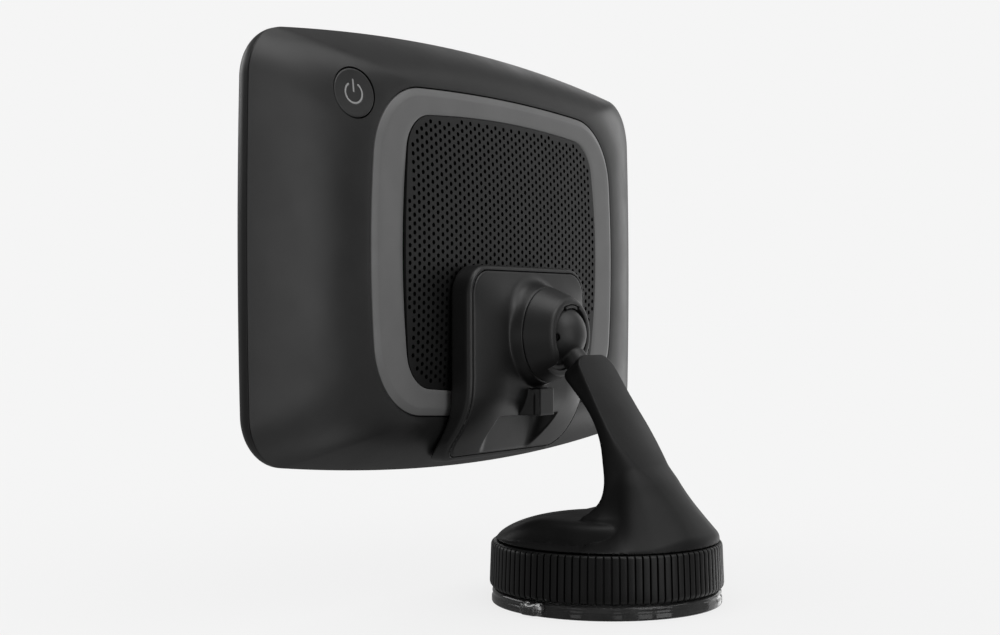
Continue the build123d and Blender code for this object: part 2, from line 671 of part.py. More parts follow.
RIB_DEPTH = 0.75
RIB_GAP = 0.62
with BuildPart() as lock_ring:
    with BuildSketch(Plane.XY.offset(RING_BOTTOM)):
        Circle(RING_RADIUS)
        Circle(RING_INNER, mode=Mode.SUBTRACT)
    extrude(amount=RING_TOP - RING_BOTTOM, taper=2.0)
    with BuildSketch(Plane.XY.offset(RING_BOTTOM)):
        Circle(RING_INNER + 1)
        Circle(RING_INNER, mode=Mode.SUBTRACT)
    extrude(amount=RING_TOP - RING_BOTTOM)
    with BuildSketch(Plane.XY.offset(RING_BOTTOM)):
        Circle(RING_INNER)
    extrude(amount=RING_TOP - RING_BOTTOM, mode=Mode.SUBTRACT)
    with BuildSketch(Plane.XY.offset(RING_BOTTOM + 0.5)):
        with PolarLocations(RING_RADIUS, RIB_COUNT):
            Rectangle(2 * RIB_DEPTH, RIB_GAP)
    extrude(amount=RING_TOP - RING_BOTTOM, mode=Mode.SUBTRACT)
    # groove that the core's cross pin runs in
    with BuildSketch(Plane.XY.offset(7.0)):
        Circle(27.0)
    extrude(amount=6.4, mode=Mode.SUBTRACT)
lock_ring.part.label = "lock_ring"

# ---------------------------------------------------------------- suction cup
with BuildPart() as suction_cup:
    with BuildSketch(Plane.XZ):
        with BuildLine():
            Polyline((9.2, 3.3), (14.0, 2.1), (20.0, 0.7), (23.0, 0.0), (CUP_RADIUS, 0.0),
                     (CUP_RADIUS, 0.8), (CUP_RADIUS - 1.2, 1.9), (CUP_RADIUS - 1.6, 3.5),
                     (25.3, 3.5), (25.3, 4.4), (23.3, 4.4), (21.0, 3.9), (9.2, 3.9), close=True)
        make_face()
    revolve(axis=Axis.Z)
    with BuildSketch(Plane.XY.offset(0.5)):
        with Locations(Location((CUP_RADIUS - 1.2, -7.6, 0), (0, 0, -15))):
            RectangleRounded(5.2, 6.4, 1.6)
    extrude(amount=1.5)
suction_cup.part.label = "suction_cup"

with BuildPart() as cup_core:
    with BuildSketch(Plane.XY.offset(2.9)):
        Circle(8.9)
    extrude(amount=2.0)
    with BuildSketch(Plane.XY.offset(4.9)):
        Circle(4.4)
    extrude(amount=9.6)
    with BuildSketch(Plane.YZ):
        with Locations((0, 11.6)):
            Circle(1.25)
    extrude(amount=6, both=True, mode=Mode.SUBTRACT)
cup_core.part.label = "cup_core"

with BuildPart() as core_pin:
    with BuildSketch(Plane.YZ.offset(-26.6)):
        with Locations((0, 11.6)):
            Circle(1.25)
    extrude(amount=53.2)
core_pin.part.label = "core_pin"

SPRING_RADIUS = 5.6
SPRING_WIRE = 0.35
SPRING_PITCH = 0.85
SPRING_HEIGHT = 1.7    # stays under the cross pin at the core's lowest place
with BuildPart() as core_spring:
    with BuildLine():
        coil = Helix(pitch=SPRING_PITCH, height=SPRING_HEIGHT, radius=SPRING_RADIUS,
                     center=(0, 0, 5.5))
    with BuildSketch(Plane(origin=coil @ 0, z_dir=coil % 0)):
        Circle(SPRING_WIRE)
    sweep(is_frenet=True)
core_spring.part.label = "core_spring"

# ---------------------------------------------------------------- export
PIECES = [
    back_cover, front_bezel, front_glass, display_panel, mid_frame, housing_screws, trim_ring,
    speaker_grille, speaker_driver, speaker_gasket, main_board, battery, gps_antenna,
    contact_pads, keeper_plates, power_button, button_seal, button_switch, clip_housing,
    clip_cover, usb_port, dock_board, dock_pins, clip_magnets, clip_screws,
    socket_collar, rear_seat, front_seat, ball_stud, arm_base, lock_ring, suction_cup,
    cup_core, core_pin, core_spring,
]
for piece in PIECES:
    export_step(piece.part, f"parts/{piece.part.label}.step")
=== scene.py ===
import json
import math

import bpy
import numpy as np
from mathutils import Matrix, Vector
from mathutils.geometry import delaunay_2d_cdt


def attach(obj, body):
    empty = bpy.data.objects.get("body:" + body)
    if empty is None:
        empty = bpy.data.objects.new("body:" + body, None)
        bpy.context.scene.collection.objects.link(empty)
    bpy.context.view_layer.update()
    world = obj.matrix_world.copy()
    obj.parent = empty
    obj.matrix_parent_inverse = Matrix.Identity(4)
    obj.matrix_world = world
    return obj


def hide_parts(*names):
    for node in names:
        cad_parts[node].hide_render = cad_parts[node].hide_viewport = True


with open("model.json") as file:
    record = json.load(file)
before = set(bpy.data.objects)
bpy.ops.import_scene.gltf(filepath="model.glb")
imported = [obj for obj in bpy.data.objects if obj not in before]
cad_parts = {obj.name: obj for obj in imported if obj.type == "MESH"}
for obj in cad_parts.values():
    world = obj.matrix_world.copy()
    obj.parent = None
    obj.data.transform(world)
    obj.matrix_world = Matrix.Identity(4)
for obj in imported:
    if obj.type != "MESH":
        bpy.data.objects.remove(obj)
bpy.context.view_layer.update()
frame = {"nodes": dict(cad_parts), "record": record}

# A portable GPS navigator on its suction windscreen mount, seen from behind.
# Lengths below are in millimetres; meshes are scaled to metres as they are made.
MM = 0.001
NODES = frame["nodes"]


# -------- camera
CAMERA_PLACE = (332.67, 197.12, 70.53)
CAMERA_RIGHT = (-0.568011, 0.823018, -0.002412)
CAMERA_BACK = (0.823021, 0.568008, -0.001890)
CAMERA_LENS = 54.92


def make_camera():
    data = bpy.data.cameras.new("camera")
    data.lens = CAMERA_LENS
    data.sensor_width = 36.0
    data.clip_start = 0.01
    camera = bpy.data.objects.new("camera", data)
    right = Vector(CAMERA_RIGHT).normalized()
    back = Vector(CAMERA_BACK).normalized()
    up = back.cross(right)
    turn = Matrix((right, up, back)).transposed().to_4x4()
    camera.matrix_world = Matrix.Translation(Vector(CAMERA_PLACE) * MM) @ turn
    bpy.context.scene.collection.objects.link(camera)
    bpy.context.scene.camera = camera


# -------- studio
BACKDROP = 0.913
AMBIENT = 0.21
# The floor glows, so that it meets the backdrop without a line, and its paint takes the shadow.
FLOOR_PAINT = 0.12
FLOOR_LIGHT = 1.21
FLOOR_GLOW = BACKDROP - FLOOR_PAINT * FLOOR_LIGHT
FLOOR_REACH = 20.0
FLOOR_DROP = 0.00005
LIGHT_AIM = (0, -0.02, 0.07)


def pale_node(tree, kind, brightness):
    """A shader node of one neutral colour."""
    made = tree.nodes.new(kind)
    made.inputs["Color"].default_value = (brightness, brightness, brightness, 1)
    return made


def make_world():
    """A pale backdrop for the eye, and a much dimmer room for the light."""
    world = bpy.data.worlds.new("studio")
    bpy.context.scene.world = world
    world.use_nodes = True
    tree = world.node_tree
    tree.nodes.clear()
    output = tree.nodes.new("ShaderNodeOutputWorld")
    seen = pale_node(tree, "ShaderNodeBackground", BACKDROP)
    room = pale_node(tree, "ShaderNodeBackground", AMBIENT)
    path = tree.nodes.new("ShaderNodeLightPath")
    either = tree.nodes.new("ShaderNodeMixShader")
    tree.links.new(path.outputs["Is Camera Ray"], either.inputs[0])
    tree.links.new(room.outputs[0], either.inputs[1])
    tree.links.new(seen.outputs[0], either.inputs[2])
    tree.links.new(either.outputs[0], output.inputs["Surface"])


def make_floor():
    """A plain pale floor that lies under the suction cup."""
    mesh = bpy.data.meshes.new("floor")
    far = FLOOR_REACH
    corners = [(-far, -far, 0), (far, -far, 0), (far, far, 0), (-far, far, 0)]
    mesh.from_pydata(corners, [], [(0, 1, 2, 3)])
    floor = bpy.data.objects.new("floor", mesh)
    floor.location.z = -FLOOR_DROP
    bpy.context.scene.collection.objects.link(floor)
    material = bpy.data.materials.new("floor_paint")
    material.use_nodes = True
    tree = material.node_tree
    tree.nodes.clear()
    output = tree.nodes.new("ShaderNodeOutputMaterial")
    glow = pale_node(tree, "ShaderNodeEmission", FLOOR_GLOW)
    paint = pale_node(tree, "ShaderNodeBsdfDiffuse", FLOOR_PAINT)
    both = tree.nodes.new("ShaderNodeAddShader")
    tree.links.new(glow.outputs[0], both.inputs[0])
    tree.links.new(paint.outputs[0], both.inputs[1])
    tree.links.new(both.outputs[0], output.inputs["Surface"])
    mesh.materials.append(material)
    floor.visible_diffuse = False
    floor.visible_glossy = False
    floor.visible_shadow = False
    return floor


def make_light(name, place, size, power, receivers):
    """A soft box at a place, turned towards the object, that lights the receivers."""
    data = bpy.data.lights.new(name, "AREA")
    data.shape = "RECTANGLE"
    data.size, data.size_y = size
    data.energy = power
    light = bpy.data.objects.new(name, data)
    light.location = place
    direction = Vector(LIGHT_AIM) - Vector(place)
    light.rotation_mode = "QUATERNION"
    light.rotation_quaternion = direction.to_track_quat("-Z", "Y")
    light.visible_camera = False
    light.light_linking.receiver_collection = receivers
    bpy.context.scene.collection.objects.link(light)


def make_lights(floor):
    """An even sky for the floor alone, and the soft boxes for everything else."""
    floor_only = bpy.data.collections.new("floor_only")
    floor_only.objects.link(floor)
    all_but_floor = bpy.data.collections.new("all_but_floor")
    all_but_floor.objects.link(floor)
    all_but_floor.collection_objects[0].light_linking.link_state = "EXCLUDE"
    sun = bpy.data.lights.new("floor_sun", "SUN")
    sun.energy = math.pi
    sun.angle = math.radians(150)
    lamp = bpy.data.objects.new("floor_sun", sun)
    lamp.light_linking.receiver_collection = floor_only
    bpy.context.scene.collection.objects.link(lamp)
    for name, place, size, power in SOFT_BOXES:
        make_light(name, place, size, power, all_but_floor)


# name, place, size (both in metres) and power of each soft box
SOFT_BOXES = [
    ("high", (0.1, 0.9, 1.1), (0.6, 0.6), 4.0),
    ("key", (0.35, 1.1, 0.55), (0.5, 0.7), 0.4),
    ("side", (-1.2, -0.05, 0.15), (0.4, 0.9), 1.3),
    ("side_mid", (-1.12, 0.42, 0.1), (0.4, 0.9), 0.8),
    ("side_top", (-0.95, 0.3, 0.7), (0.5, 0.5), 0.2),
    ("side_low", (-1.15, 0.05, -0.35), (0.5, 0.5), 0.5),
    ("side_under", (-0.95, 0.35, -0.6), (0.5, 0.5), 0.5),
    ("back", (0.05, 1.25, 0.07), (0.35, 0.8), 1.5),
    ("back_right", (0.45, 1.15, 0.07), (0.3, 0.8), 0.9),
    ("back_left", (-0.75, 0.95, 0.2), (0.5, 0.9), 0.1),
    ("back_low", (-0.35, 0.85, -0.7), (0.5, 0.4), 0.5),
    ("middle_top", (-0.45, 0.65, 0.95), (0.5, 0.5), 1.2),
    ("top", (0.0, 0.1, 1.3), (0.9, 0.6), 4.0),
    ("rim", (0.9, 0.8, 0.1), (0.15, 0.8), 0.25),
    ("flank", (1.2, 0.02, 0.05), (0.2, 0.6), 0.3),
    ("far", (-1.05, -0.75, 0.6), (0.6, 0.4), 1.0),
    ("under", (0.0, 0.4, -0.8), (1.0, 1.0), 0.7),
    ("front", (0.2, -1.3, 0.6), (0.9, 0.6), 3.5),
]


# -------- materials
def grey(value):
    """A neutral colour from a display value, 0 to 255."""
    share = value / 255.0
    linear = share / 12.92 if share <= 0.04045 else ((share + 0.055) / 1.055) ** 2.4
    return (linear, linear, linear, 1.0)


def tinted(red, green, blue):
    """A colour from three display values, 0 to 255."""
    return (grey(red)[0], grey(green)[0], grey(blue)[0], 1.0)


def scaled(shade, factor):
    """A colour made darker or lighter."""
    return tuple(c * factor for c in shade[:3]) + (1.0,)


MATERIALS = {}


class Paint:
    """A material under construction, kept in MATERIALS under its name."""

    def __init__(self, name):
        material = bpy.data.materials.new(name)
        MATERIALS[name] = material
        material.use_nodes = True
        self.tree = material.node_tree
        self.shader = self.tree.nodes["Principled BSDF"]
        self.place = self.tree.nodes.new("ShaderNodeTexCoord").outputs["Object"]

    def node(self, kind, **settings):
        made = self.tree.nodes.new(kind)
        for key, value in settings.items():
            setattr(made, key, value)
        return made

    def link(self, output, socket):
        self.tree.links.new(output, socket)

    def set(self, **values):
        for key, value in values.items():
            self.shader.inputs[key.replace("_", " ")].default_value = value

    def noise(self, size_mm, detail=2.0, roughness=0.5, place=None):
        """Noise with features of about this size."""
        made = self.node("ShaderNodeTexNoise")
        made.inputs["Scale"].default_value = 1000.0 / size_mm
        made.inputs["Detail"].default_value = detail
        made.inputs["Roughness"].default_value = roughness
        self.link(place or self.place, made.inputs["Vector"])
        return made.outputs["Fac"]

    def cells(self, size_mm, feature="F1"):
        """Cells of about this size, dark in the middle or at the edge."""
        made = self.node("ShaderNodeTexVoronoi", feature=feature)
        made.inputs["Scale"].default_value = 1000.0 / size_mm
        self.link(self.place, made.inputs["Vector"])
        return made.outputs["Distance"]

    def stretched(self, x, y, z):
        """The object's coordinates, stretched along each axis."""
        made = self.node("ShaderNodeMapping")
        made.inputs["Scale"].default_value = (x, y, z)
        self.link(self.place, made.inputs["Vector"])
        return made.outputs["Vector"]

    def rough(self, value, low, high):
        """Roughness from low to high, driven by the middle part of a noise's values."""
        made = self.node("ShaderNodeMapRange")
        made.inputs["From Min"].default_value = 0.3
        made.inputs["From Max"].default_value = 0.7
        made.inputs["To Min"].default_value = low
        made.inputs["To Max"].default_value = high
        self.link(value, made.inputs["Value"])
        self.link(made.outputs["Result"], self.shader.inputs["Roughness"])

    def colours(self, value, low, high, from_low=0.3, from_high=0.7):
        """A colour ramp between two colours, driven by a value."""
        made = self.node("ShaderNodeValToRGB")
        first, last = made.color_ramp.elements
        first.position = from_low
        last.position = from_high
        first.color = low
        last.color = high
        self.link(value, made.inputs["Fac"])
        self.link(made.outputs["Color"], self.shader.inputs["Base Color"])

    def bump(self, value, depth_mm, under=None):
        made = self.node("ShaderNodeBump")
        made.inputs["Strength"].default_value = 1.0
        made.inputs["Distance"].default_value = depth_mm * MM
        self.link(value, made.inputs["Height"])
        if under is not None:
            self.link(under, made.inputs["Normal"])
        self.link(made.outputs["Normal"], self.shader.inputs["Normal"])
        return made.outputs["Normal"]


def moulded(name, shade, roughness, grain_mm=0.22, depth_mm=0.006, spread=1.18, level=0.5):
    """Moulded plastic: spark-eroded grain, faint flow marks and slight handling gloss."""
    paint = Paint(name)
    flow = paint.noise(9.0, detail=3.0)
    paint.colours(flow, scaled(shade, 1 / spread), scaled(shade, spread))
    handling = paint.noise(14.0, detail=5.0, roughness=0.6)
    paint.rough(handling, roughness - 0.04, roughness + 0.05)
    paint.set(Specular_IOR_Level=level)
    grain = paint.noise(grain_mm, detail=3.0, roughness=0.6)
    skin = paint.bump(paint.noise(1.4, detail=2.0), depth_mm * 0.8)
    paint.bump(grain, depth_mm, under=skin)


def metal(name, shade, roughness, lines=(1, 1, 1)):
    """Metal with fine streaks, drawn out across the axes with the larger numbers."""
    paint = Paint(name)
    paint.set(Metallic=1.0)
    streaks = paint.noise(0.5, detail=3.0, place=paint.stretched(*lines))
    paint.colours(streaks, scaled(shade, 0.82), shade)
    paint.rough(streaks, roughness - 0.06, roughness + 0.08)
    paint.bump(streaks, 0.002)


def rubber(name, shade):
    """Matt moulded rubber."""
    paint = Paint(name)
    paint.colours(paint.noise(2.5, detail=4.0), shade, scaled(shade, 1.3))
    paint.rough(paint.noise(5.0), 0.65, 0.78)
    paint.bump(paint.cells(0.18), 0.008)


def foam_material():
    """Open-celled gasket foam."""
    paint = Paint("foam")
    paint.colours(paint.cells(0.6), grey(18), grey(42), 0.1, 0.7)
    paint.rough(paint.noise(2.0), 0.85, 0.95)
    paint.bump(paint.cells(0.5), 0.12)


def screen_glass():
    """Black-backed touch glass with faint finger marks."""
    paint = Paint("screen_glass")
    paint.colours(paint.noise(30.0), grey(7), grey(10))
    marks = paint.noise(11.0, detail=6.0, roughness=0.65)
    paint.rough(marks, 0.04, 0.14)
    paint.bump(paint.noise(25.0), 0.004)
    paint.set(IOR=1.52, Coat_Weight=0.6, Coat_Roughness=0.03)


def display_material():
    """A display that is switched off, with the faint grid of its dots."""
    paint = Paint("display")
    paint.colours(paint.noise(0.2, detail=0.0), tinted(12, 14, 18), tinted(17, 19, 24))
    paint.rough(paint.noise(8.0), 0.22, 0.3)
    paint.bump(paint.cells(0.11), 0.002)


def circuit_board():
    """Green solder mask with copper tracks that show through it."""
    paint = Paint("circuit_board")
    tracks = paint.cells(3.4, "DISTANCE_TO_EDGE")
    paint.colours(tracks, tinted(46, 92, 58), tinted(14, 44, 28), 0.02, 0.08)
    paint.rough(paint.noise(1.5), 0.28, 0.4)
    paint.bump(tracks, 0.03)


def ceramic():
    """The antenna's fired ceramic."""
    paint = Paint("antenna_ceramic")
    paint.colours(paint.noise(0.8, detail=5.0), tinted(150, 138, 112), tinted(188, 178, 150))
    paint.rough(paint.noise(1.2), 0.4, 0.6)
    paint.bump(paint.noise(0.3), 0.01)


def clear_rubber(name="cup_clear", low=grey(62), high=grey(84), clearness=0.6):
    """The suction cup's clear elastomer; its dark default tint is slight smoke, darkened further as
    painted shade for the shaded hollow seen through the cup.
    """
    paint = Paint(name)
    paint.colours(paint.noise(6.0, detail=3.0), low, high)
    paint.rough(paint.noise(3.0, detail=4.0), 0.05, 0.12)
    paint.bump(paint.noise(1.2, detail=2.0), 0.006)
    paint.set(IOR=1.45, Transmission_Weight=clearness)


# a material for every slot in the record
moulded("cover_plastic", grey(30), 0.37)
moulded("bezel_plastic", grey(24), 0.36)
screen_glass()
display_material()
moulded("inner_plastic", grey(28), 0.55, grain_mm=0.5)
metal("screw_steel", grey(165), 0.32, (1, 6, 1))
moulded("trim_plastic", grey(108), 0.38, spread=1.05)
moulded("grille", grey(15), 0.42, grain_mm=0.3, level=0.42)
moulded("speaker", grey(20), 0.6, grain_mm=0.6, depth_mm=0.02)
foam_material()
circuit_board()
moulded("battery_wrap", tinted(88, 92, 100), 0.35, grain_mm=0.8)
ceramic()
metal("contact_brass", tinted(214, 178, 106), 0.25)
metal("plate_steel", grey(150), 0.35, (1, 1, 8))
moulded("button_plastic", grey(38), 0.4)
rubber("seal_rubber", grey(22))
moulded("switch_plastic", grey(60), 0.45)
moulded("clip_plastic", grey(24), 0.4)
moulded("clip_cover_plastic", grey(24), 0.4)
metal("port_steel", grey(135), 0.3, (1, 1, 6))
metal("magnet_nickel", grey(185), 0.2)
moulded("collar_plastic", grey(30), 0.42)
moulded("seat_nylon", grey(95), 0.5)
moulded("ball_plastic", grey(31), 0.44, depth_mm=0.003)
moulded("arm_plastic", grey(23), 0.46, level=0.2)
moulded("ring_plastic", grey(14), 0.42, level=0.3)
# the cup's dark tint is slight smoke and painted shade for the hollow under it
clear_rubber()
moulded("core_plastic", grey(24), 0.4)
metal("spring_steel", grey(160), 0.28)


def paint_nodes():
    """Every CAD node gets the material of its slot in the record."""
    for part in frame["record"]["subparts"]:
        mesh = NODES[part["node"]].data
        mesh.materials.clear()
        mesh.materials.append(MATERIALS[part["material_slot"]])


# -------- mesh tools
def encloses(points, faces):
    """Signed volume of a closed mesh; positive when its faces point outwards."""
    total = 0.0
    for size in sorted({len(f) for f in faces}):
        ring = np.array([f for f in faces if len(f) == size])
        first = points[ring[:, 0]]
        for step in range(1, size - 1):
            turned = np.cross(points[ring[:, step]], points[ring[:, step + 1]])
            total += (first * turned).sum()
    return total / 6


def new_piece(name, points, faces, slot, body, nodes=(), smooth=True):
    """A piece from points in millimetres, with its material, its body and the nodes it stands for."""
    points = np.asarray(points, float)
    faces = [list(f) for f in faces]
    if encloses(points, faces) < 0:
        faces = [f[::-1] for f in faces]
    mesh = bpy.data.meshes.new(name)
    mesh.from_pydata((points * MM).tolist(), [], faces)
    mesh.validate()
    mesh.materials.append(MATERIALS[slot])
    mesh.polygons.foreach_set("use_smooth", [smooth] * len(mesh.polygons))
    piece = bpy.data.objects.new(name, mesh)
    bpy.context.scene.collection.objects.link(piece)
    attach(piece, body)
    if nodes:
        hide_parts(*nodes)
    return piece


def ring_faces(rows, count):
    """Quads between rows of points, where each row is a closed loop and the last joins the first."""
    faces = []
    for row in range(rows):
        other = (row + 1) % rows
        for step in range(count):
            nxt = (step + 1) % count
            faces.append((row * count + step, row * count + nxt,
                          other * count + nxt, other * count + step))
    return faces


def keep_edges(piece, degrees):
    """Edges sharper than this angle stay crisp under smooth shading."""
    piece.data.set_sharp_from_angle(angle=math.radians(degrees))


def smooth_min(a, b, blend):
    """The lower of two fields, with a rounded valley where they meet."""
    share = np.clip(0.5 + 0.5 * (b - a) / blend, 0, 1)
    return b + (a - b) * share - blend * share * (1 - share)


def smooth_max(a, b, blend):
    """The higher of two fields, with a rounded edge where they meet."""
    return -smooth_min(-a, -b, blend)


def smooth_step(value, low, high):
    """Rises smoothly from 0 to 1 as the value goes from low to high."""
    share = np.clip((value - low) / (high - low), 0, 1)
    return share * share * (3 - 2 * share)


def through(points):
    """A smooth function whose curve passes through the given (input, output) points."""
    inputs, outputs = (np.array(c, float) for c in zip(*sorted(points)))
    slopes = np.gradient(outputs, inputs)

    def curve(value):
        value = np.clip(value, inputs[0] - 60, inputs[-1] + 60)
        spot = np.clip(np.searchsorted(inputs, value) - 1, 0, len(inputs) - 2)
        span = inputs[spot + 1] - inputs[spot]
        t = np.clip((value - inputs[spot]) / span, 0, 1)
        inner = (2 * t**3 - 3 * t**2 + 1) * outputs[spot] + (3 * t**2 - 2 * t**3) * outputs[spot + 1]
        inner += span * ((t**3 - 2 * t**2 + t) * slopes[spot] + (t**3 - t**2) * slopes[spot + 1])
        below = np.minimum(value - inputs[0], 0) * slopes[0]
        above = np.maximum(value - inputs[-1], 0) * slopes[-1]
        return inner + below + above

    return curve


def rounded_box(u, v, half_u, half_v, radius):
    """Distance field of a rectangle with round corners."""
    far_u = np.abs(u) - half_u + radius
    far_v = np.abs(v) - half_v + radius
    outside = np.hypot(np.maximum(far_u, 0), np.maximum(far_v, 0))
    return outside + np.minimum(np.maximum(far_u, far_v), 0) - radius


CELL_CORNERS = [(i, j, k) for i in (0, 1) for j in (0, 1) for k in (0, 1)]
CELL_EDGES = [(a, b) for a in range(8) for b in range(a + 1, 8)
              if sum(abs(p - q) for p, q in zip(CELL_CORNERS[a], CELL_CORNERS[b])) == 1]


def net_points(value, cells, axes, step):
    """One point per crossed cell: the middle of where the surface cuts the cell's edges."""
    i, j, k = cells
    corner = [value[i + a, j + b, k + c] for a, b, c in CELL_CORNERS]
    total = np.zeros((len(i), 3))
    count = np.zeros(len(i))
    for a, b in CELL_EDGES:
        cut = (corner[a] < 0) != (corner[b] < 0)
        share = np.where(cut, corner[a] / np.where(cut, corner[a] - corner[b], 1), 0)
        start = np.array(CELL_CORNERS[a], float)
        run = np.array(CELL_CORNERS[b], float) - start
        total += cut[:, None] * (start + share[:, None] * run)
        count += cut
    base = np.stack([axes[0][i], axes[1][j], axes[2][k]], 1)
    return base + step * total / count[:, None]


def net_faces(value, number):
    """One quad round every grid edge that the surface cuts, facing outwards."""
    inside = value < 0
    faces = []
    for axis in range(3):
        first, second = [(1, 2), (2, 0), (0, 1)][axis]
        low = [slice(None)] * 3
        high = [slice(None)] * 3
        low[axis] = slice(None, -1)
        high[axis] = slice(1, None)
        leaves = inside[tuple(low)] & ~inside[tuple(high)]
        enters = ~inside[tuple(low)] & inside[tuple(high)]
        for crossing, order in ((leaves, 1), (enters, -1)):
            spots = np.stack(np.nonzero(crossing), 1)
            spots = spots[(spots[:, first] > 0) & (spots[:, second] > 0)]
            spots = spots[spots[:, first] < value.shape[first] - 1]
            spots = spots[spots[:, second] < value.shape[second] - 1]
            ring = []
            for back_first, back_second in ((1, 1), (0, 1), (0, 0), (1, 0)):
                cell = spots.copy()
                cell[:, first] -= back_first
                cell[:, second] -= back_second
                ring.append(number[cell[:, 0], cell[:, 1], cell[:, 2]])
            faces.append(np.stack(ring, 1)[:, ::order])
    return np.concatenate(faces)


def slope_of(field, points, reach=0.02):
    """Gradient of a field at points."""
    parts = []
    for axis in range(3):
        shift = np.zeros(3)
        shift[axis] = reach
        parts.append(field(*(points + shift).T) - field(*(points - shift).T))
    return np.stack(parts, 1) / (2 * reach)


def field_surface(field, low, high, step, passes=4):
    """Points and quads of the surface where a field is zero; the inside is negative."""
    axes = [np.arange(a - 1.5 * step, b + 2 * step, step) for a, b in zip(low, high)]
    value = field(*np.meshgrid(*axes, indexing="ij"))
    corner = [value[a:value.shape[0] - 1 + a, b:value.shape[1] - 1 + b, c:value.shape[2] - 1 + c] < 0
              for a, b, c in CELL_CORNERS]
    inside_count = sum(c.astype(np.int8) for c in corner)
    cells = np.nonzero((inside_count > 0) & (inside_count < 8))
    number = np.full(inside_count.shape, -1, int)
    number[cells] = np.arange(len(cells[0]))
    points = net_points(value, cells, axes, step)
    for _ in range(passes):
        slope = slope_of(field, points)
        size = np.maximum((slope**2).sum(1), 0.05)
        move = (field(*points.T) / size)[:, None] * slope
        points -= np.clip(move, -0.5 * step, 0.5 * step)
    return points, net_faces(value, number)


def field_piece(name, field, box, step, slot, body, node, crease):
    """A piece whose surface is where a field is zero, with edges sharper than crease kept crisp."""
    points, faces = field_surface(field, *box, step)
    piece = new_piece(name, points, faces, slot, body, [node])
    keep_edges(piece, crease)


# -------- arm and base
BASE_EDGE = 28.4
BASE_BOTTOM = 15.4
SKIRT_RISE = 0.25
HUB_TOP_FALL = 6.0
HOLLOW_TOP = 16.0
WALL_RADIUS = 24.3
GUIDE_RADIUS = 5.6
GUIDE_BORE = 4.55
PIN_SLOT_HALF = 1.45
BALL = np.array([0.0, -15.0, 66.8])
BALL_RADIUS = 8.0
NECK_ALONG = np.array([0.0, 0.68, -0.733])
NECK_RADIUS = 3.2
NECK_END = 13.0
# the arm's back, front, half width and crown at each height
arm_back = through([(16, 26.9), (22.5, 22.2), (28.5, 18.0), (34.7, 13.9), (43.5, 7.8), (55.0, 0.3),
                    (61.5, -3.6)])
arm_front = through([(20, 5.0), (23.6, 5.5), (26.4, 6.1), (30.7, 6.2), (35.5, 5.4), (41.0, 4.0),
                     (44.8, 2.2), (48.4, -0.3), (52.6, -4.1), (56.5, -7.8)])
arm_half = through([(14, 16.6), (22, 14.4), (30, 12.7), (37, 11.6), (43, 10.7), (51, 9.6),
                    (57, 9.0), (62, 8.4)])
arm_crown = through([(16, 1.9), (37, 1.5), (43, 1.3), (51, 0.85), (57, 0.45), (62, 0.3)])


def round_corner(a, b, radius):
    """Where two faces of a body meet, an edge of this radius; the faces themselves stay put."""
    outside = np.hypot(np.maximum(a + radius, 0), np.maximum(b + radius, 0))
    return np.minimum(np.maximum(a, b), -radius) + outside


def arm_field(x, y, z):
    """The leaning arm: crowned back face, flat sides, hollowed front and a square-cut end."""
    half = arm_half(z)
    crown = arm_crown(z) * np.minimum(np.abs(x) / half, 1.4) ** 2
    back = (y - arm_back(z) + crown) * 0.825
    front_slope = arm_front(z + 0.5) - arm_front(z - 0.5)
    front = (arm_front(z) - y) / np.sqrt(1 + front_slope**2)
    side = np.abs(x) - half
    end = (y + 5.4) * -0.695 + (z - 60.6) * 0.719
    edge = 0.55 + 9.5 * smooth_step(-z, -46, -23)
    body = round_corner(back, side, edge)
    body = smooth_max(body, front, 1.6)
    tip = round_corner(side, end, 4.4)
    return smooth_max(body, tip, 0.7)


# how steeply the skirt climbs, by the angle in degrees away from the arm's side
foot_slope = through([(0, 1.02), (25, 1.04), (36, 1.08), (44, 1.00), (51, 0.70), (59, 0.42), (70, 0.27),
                      (90, 0.16), (180, 0.17)])


def foot_field(x, y, z):
    """The skirt: almost flat round the hub, and drawn up into the arm behind it."""
    radius = np.hypot(x, y)
    slope = foot_slope(np.degrees(np.arctan2(np.abs(x), y)))
    height = z - BASE_BOTTOM - SKIRT_RISE
    climb = (height - (BASE_EDGE - radius) * slope) / np.sqrt(1 + slope**2)
    flat = height - (BASE_EDGE - radius) * 0.16
    return np.minimum(smooth_max(climb, (arm_front(z) + 1.5 - y) * 0.9, 2.5), flat)


def hub_field(x, y, z):
    """The low dome under the arm: steep flanks, and a long easy slope towards the navigator."""
    radius = np.hypot(x, y)
    easy = smooth_step(-y / np.maximum(radius, 1), 0.15, 0.8)
    spread = np.minimum(radius / (22.6 + 5.0 * easy), 1.25)
    inner = 1 - spread ** (14.0 - 11.2 * easy)
    fall = np.sign(inner) * np.abs(inner) ** (0.34 + 0.38 * easy)
    return (z - 15.9 - HUB_TOP_FALL * fall) * 0.45


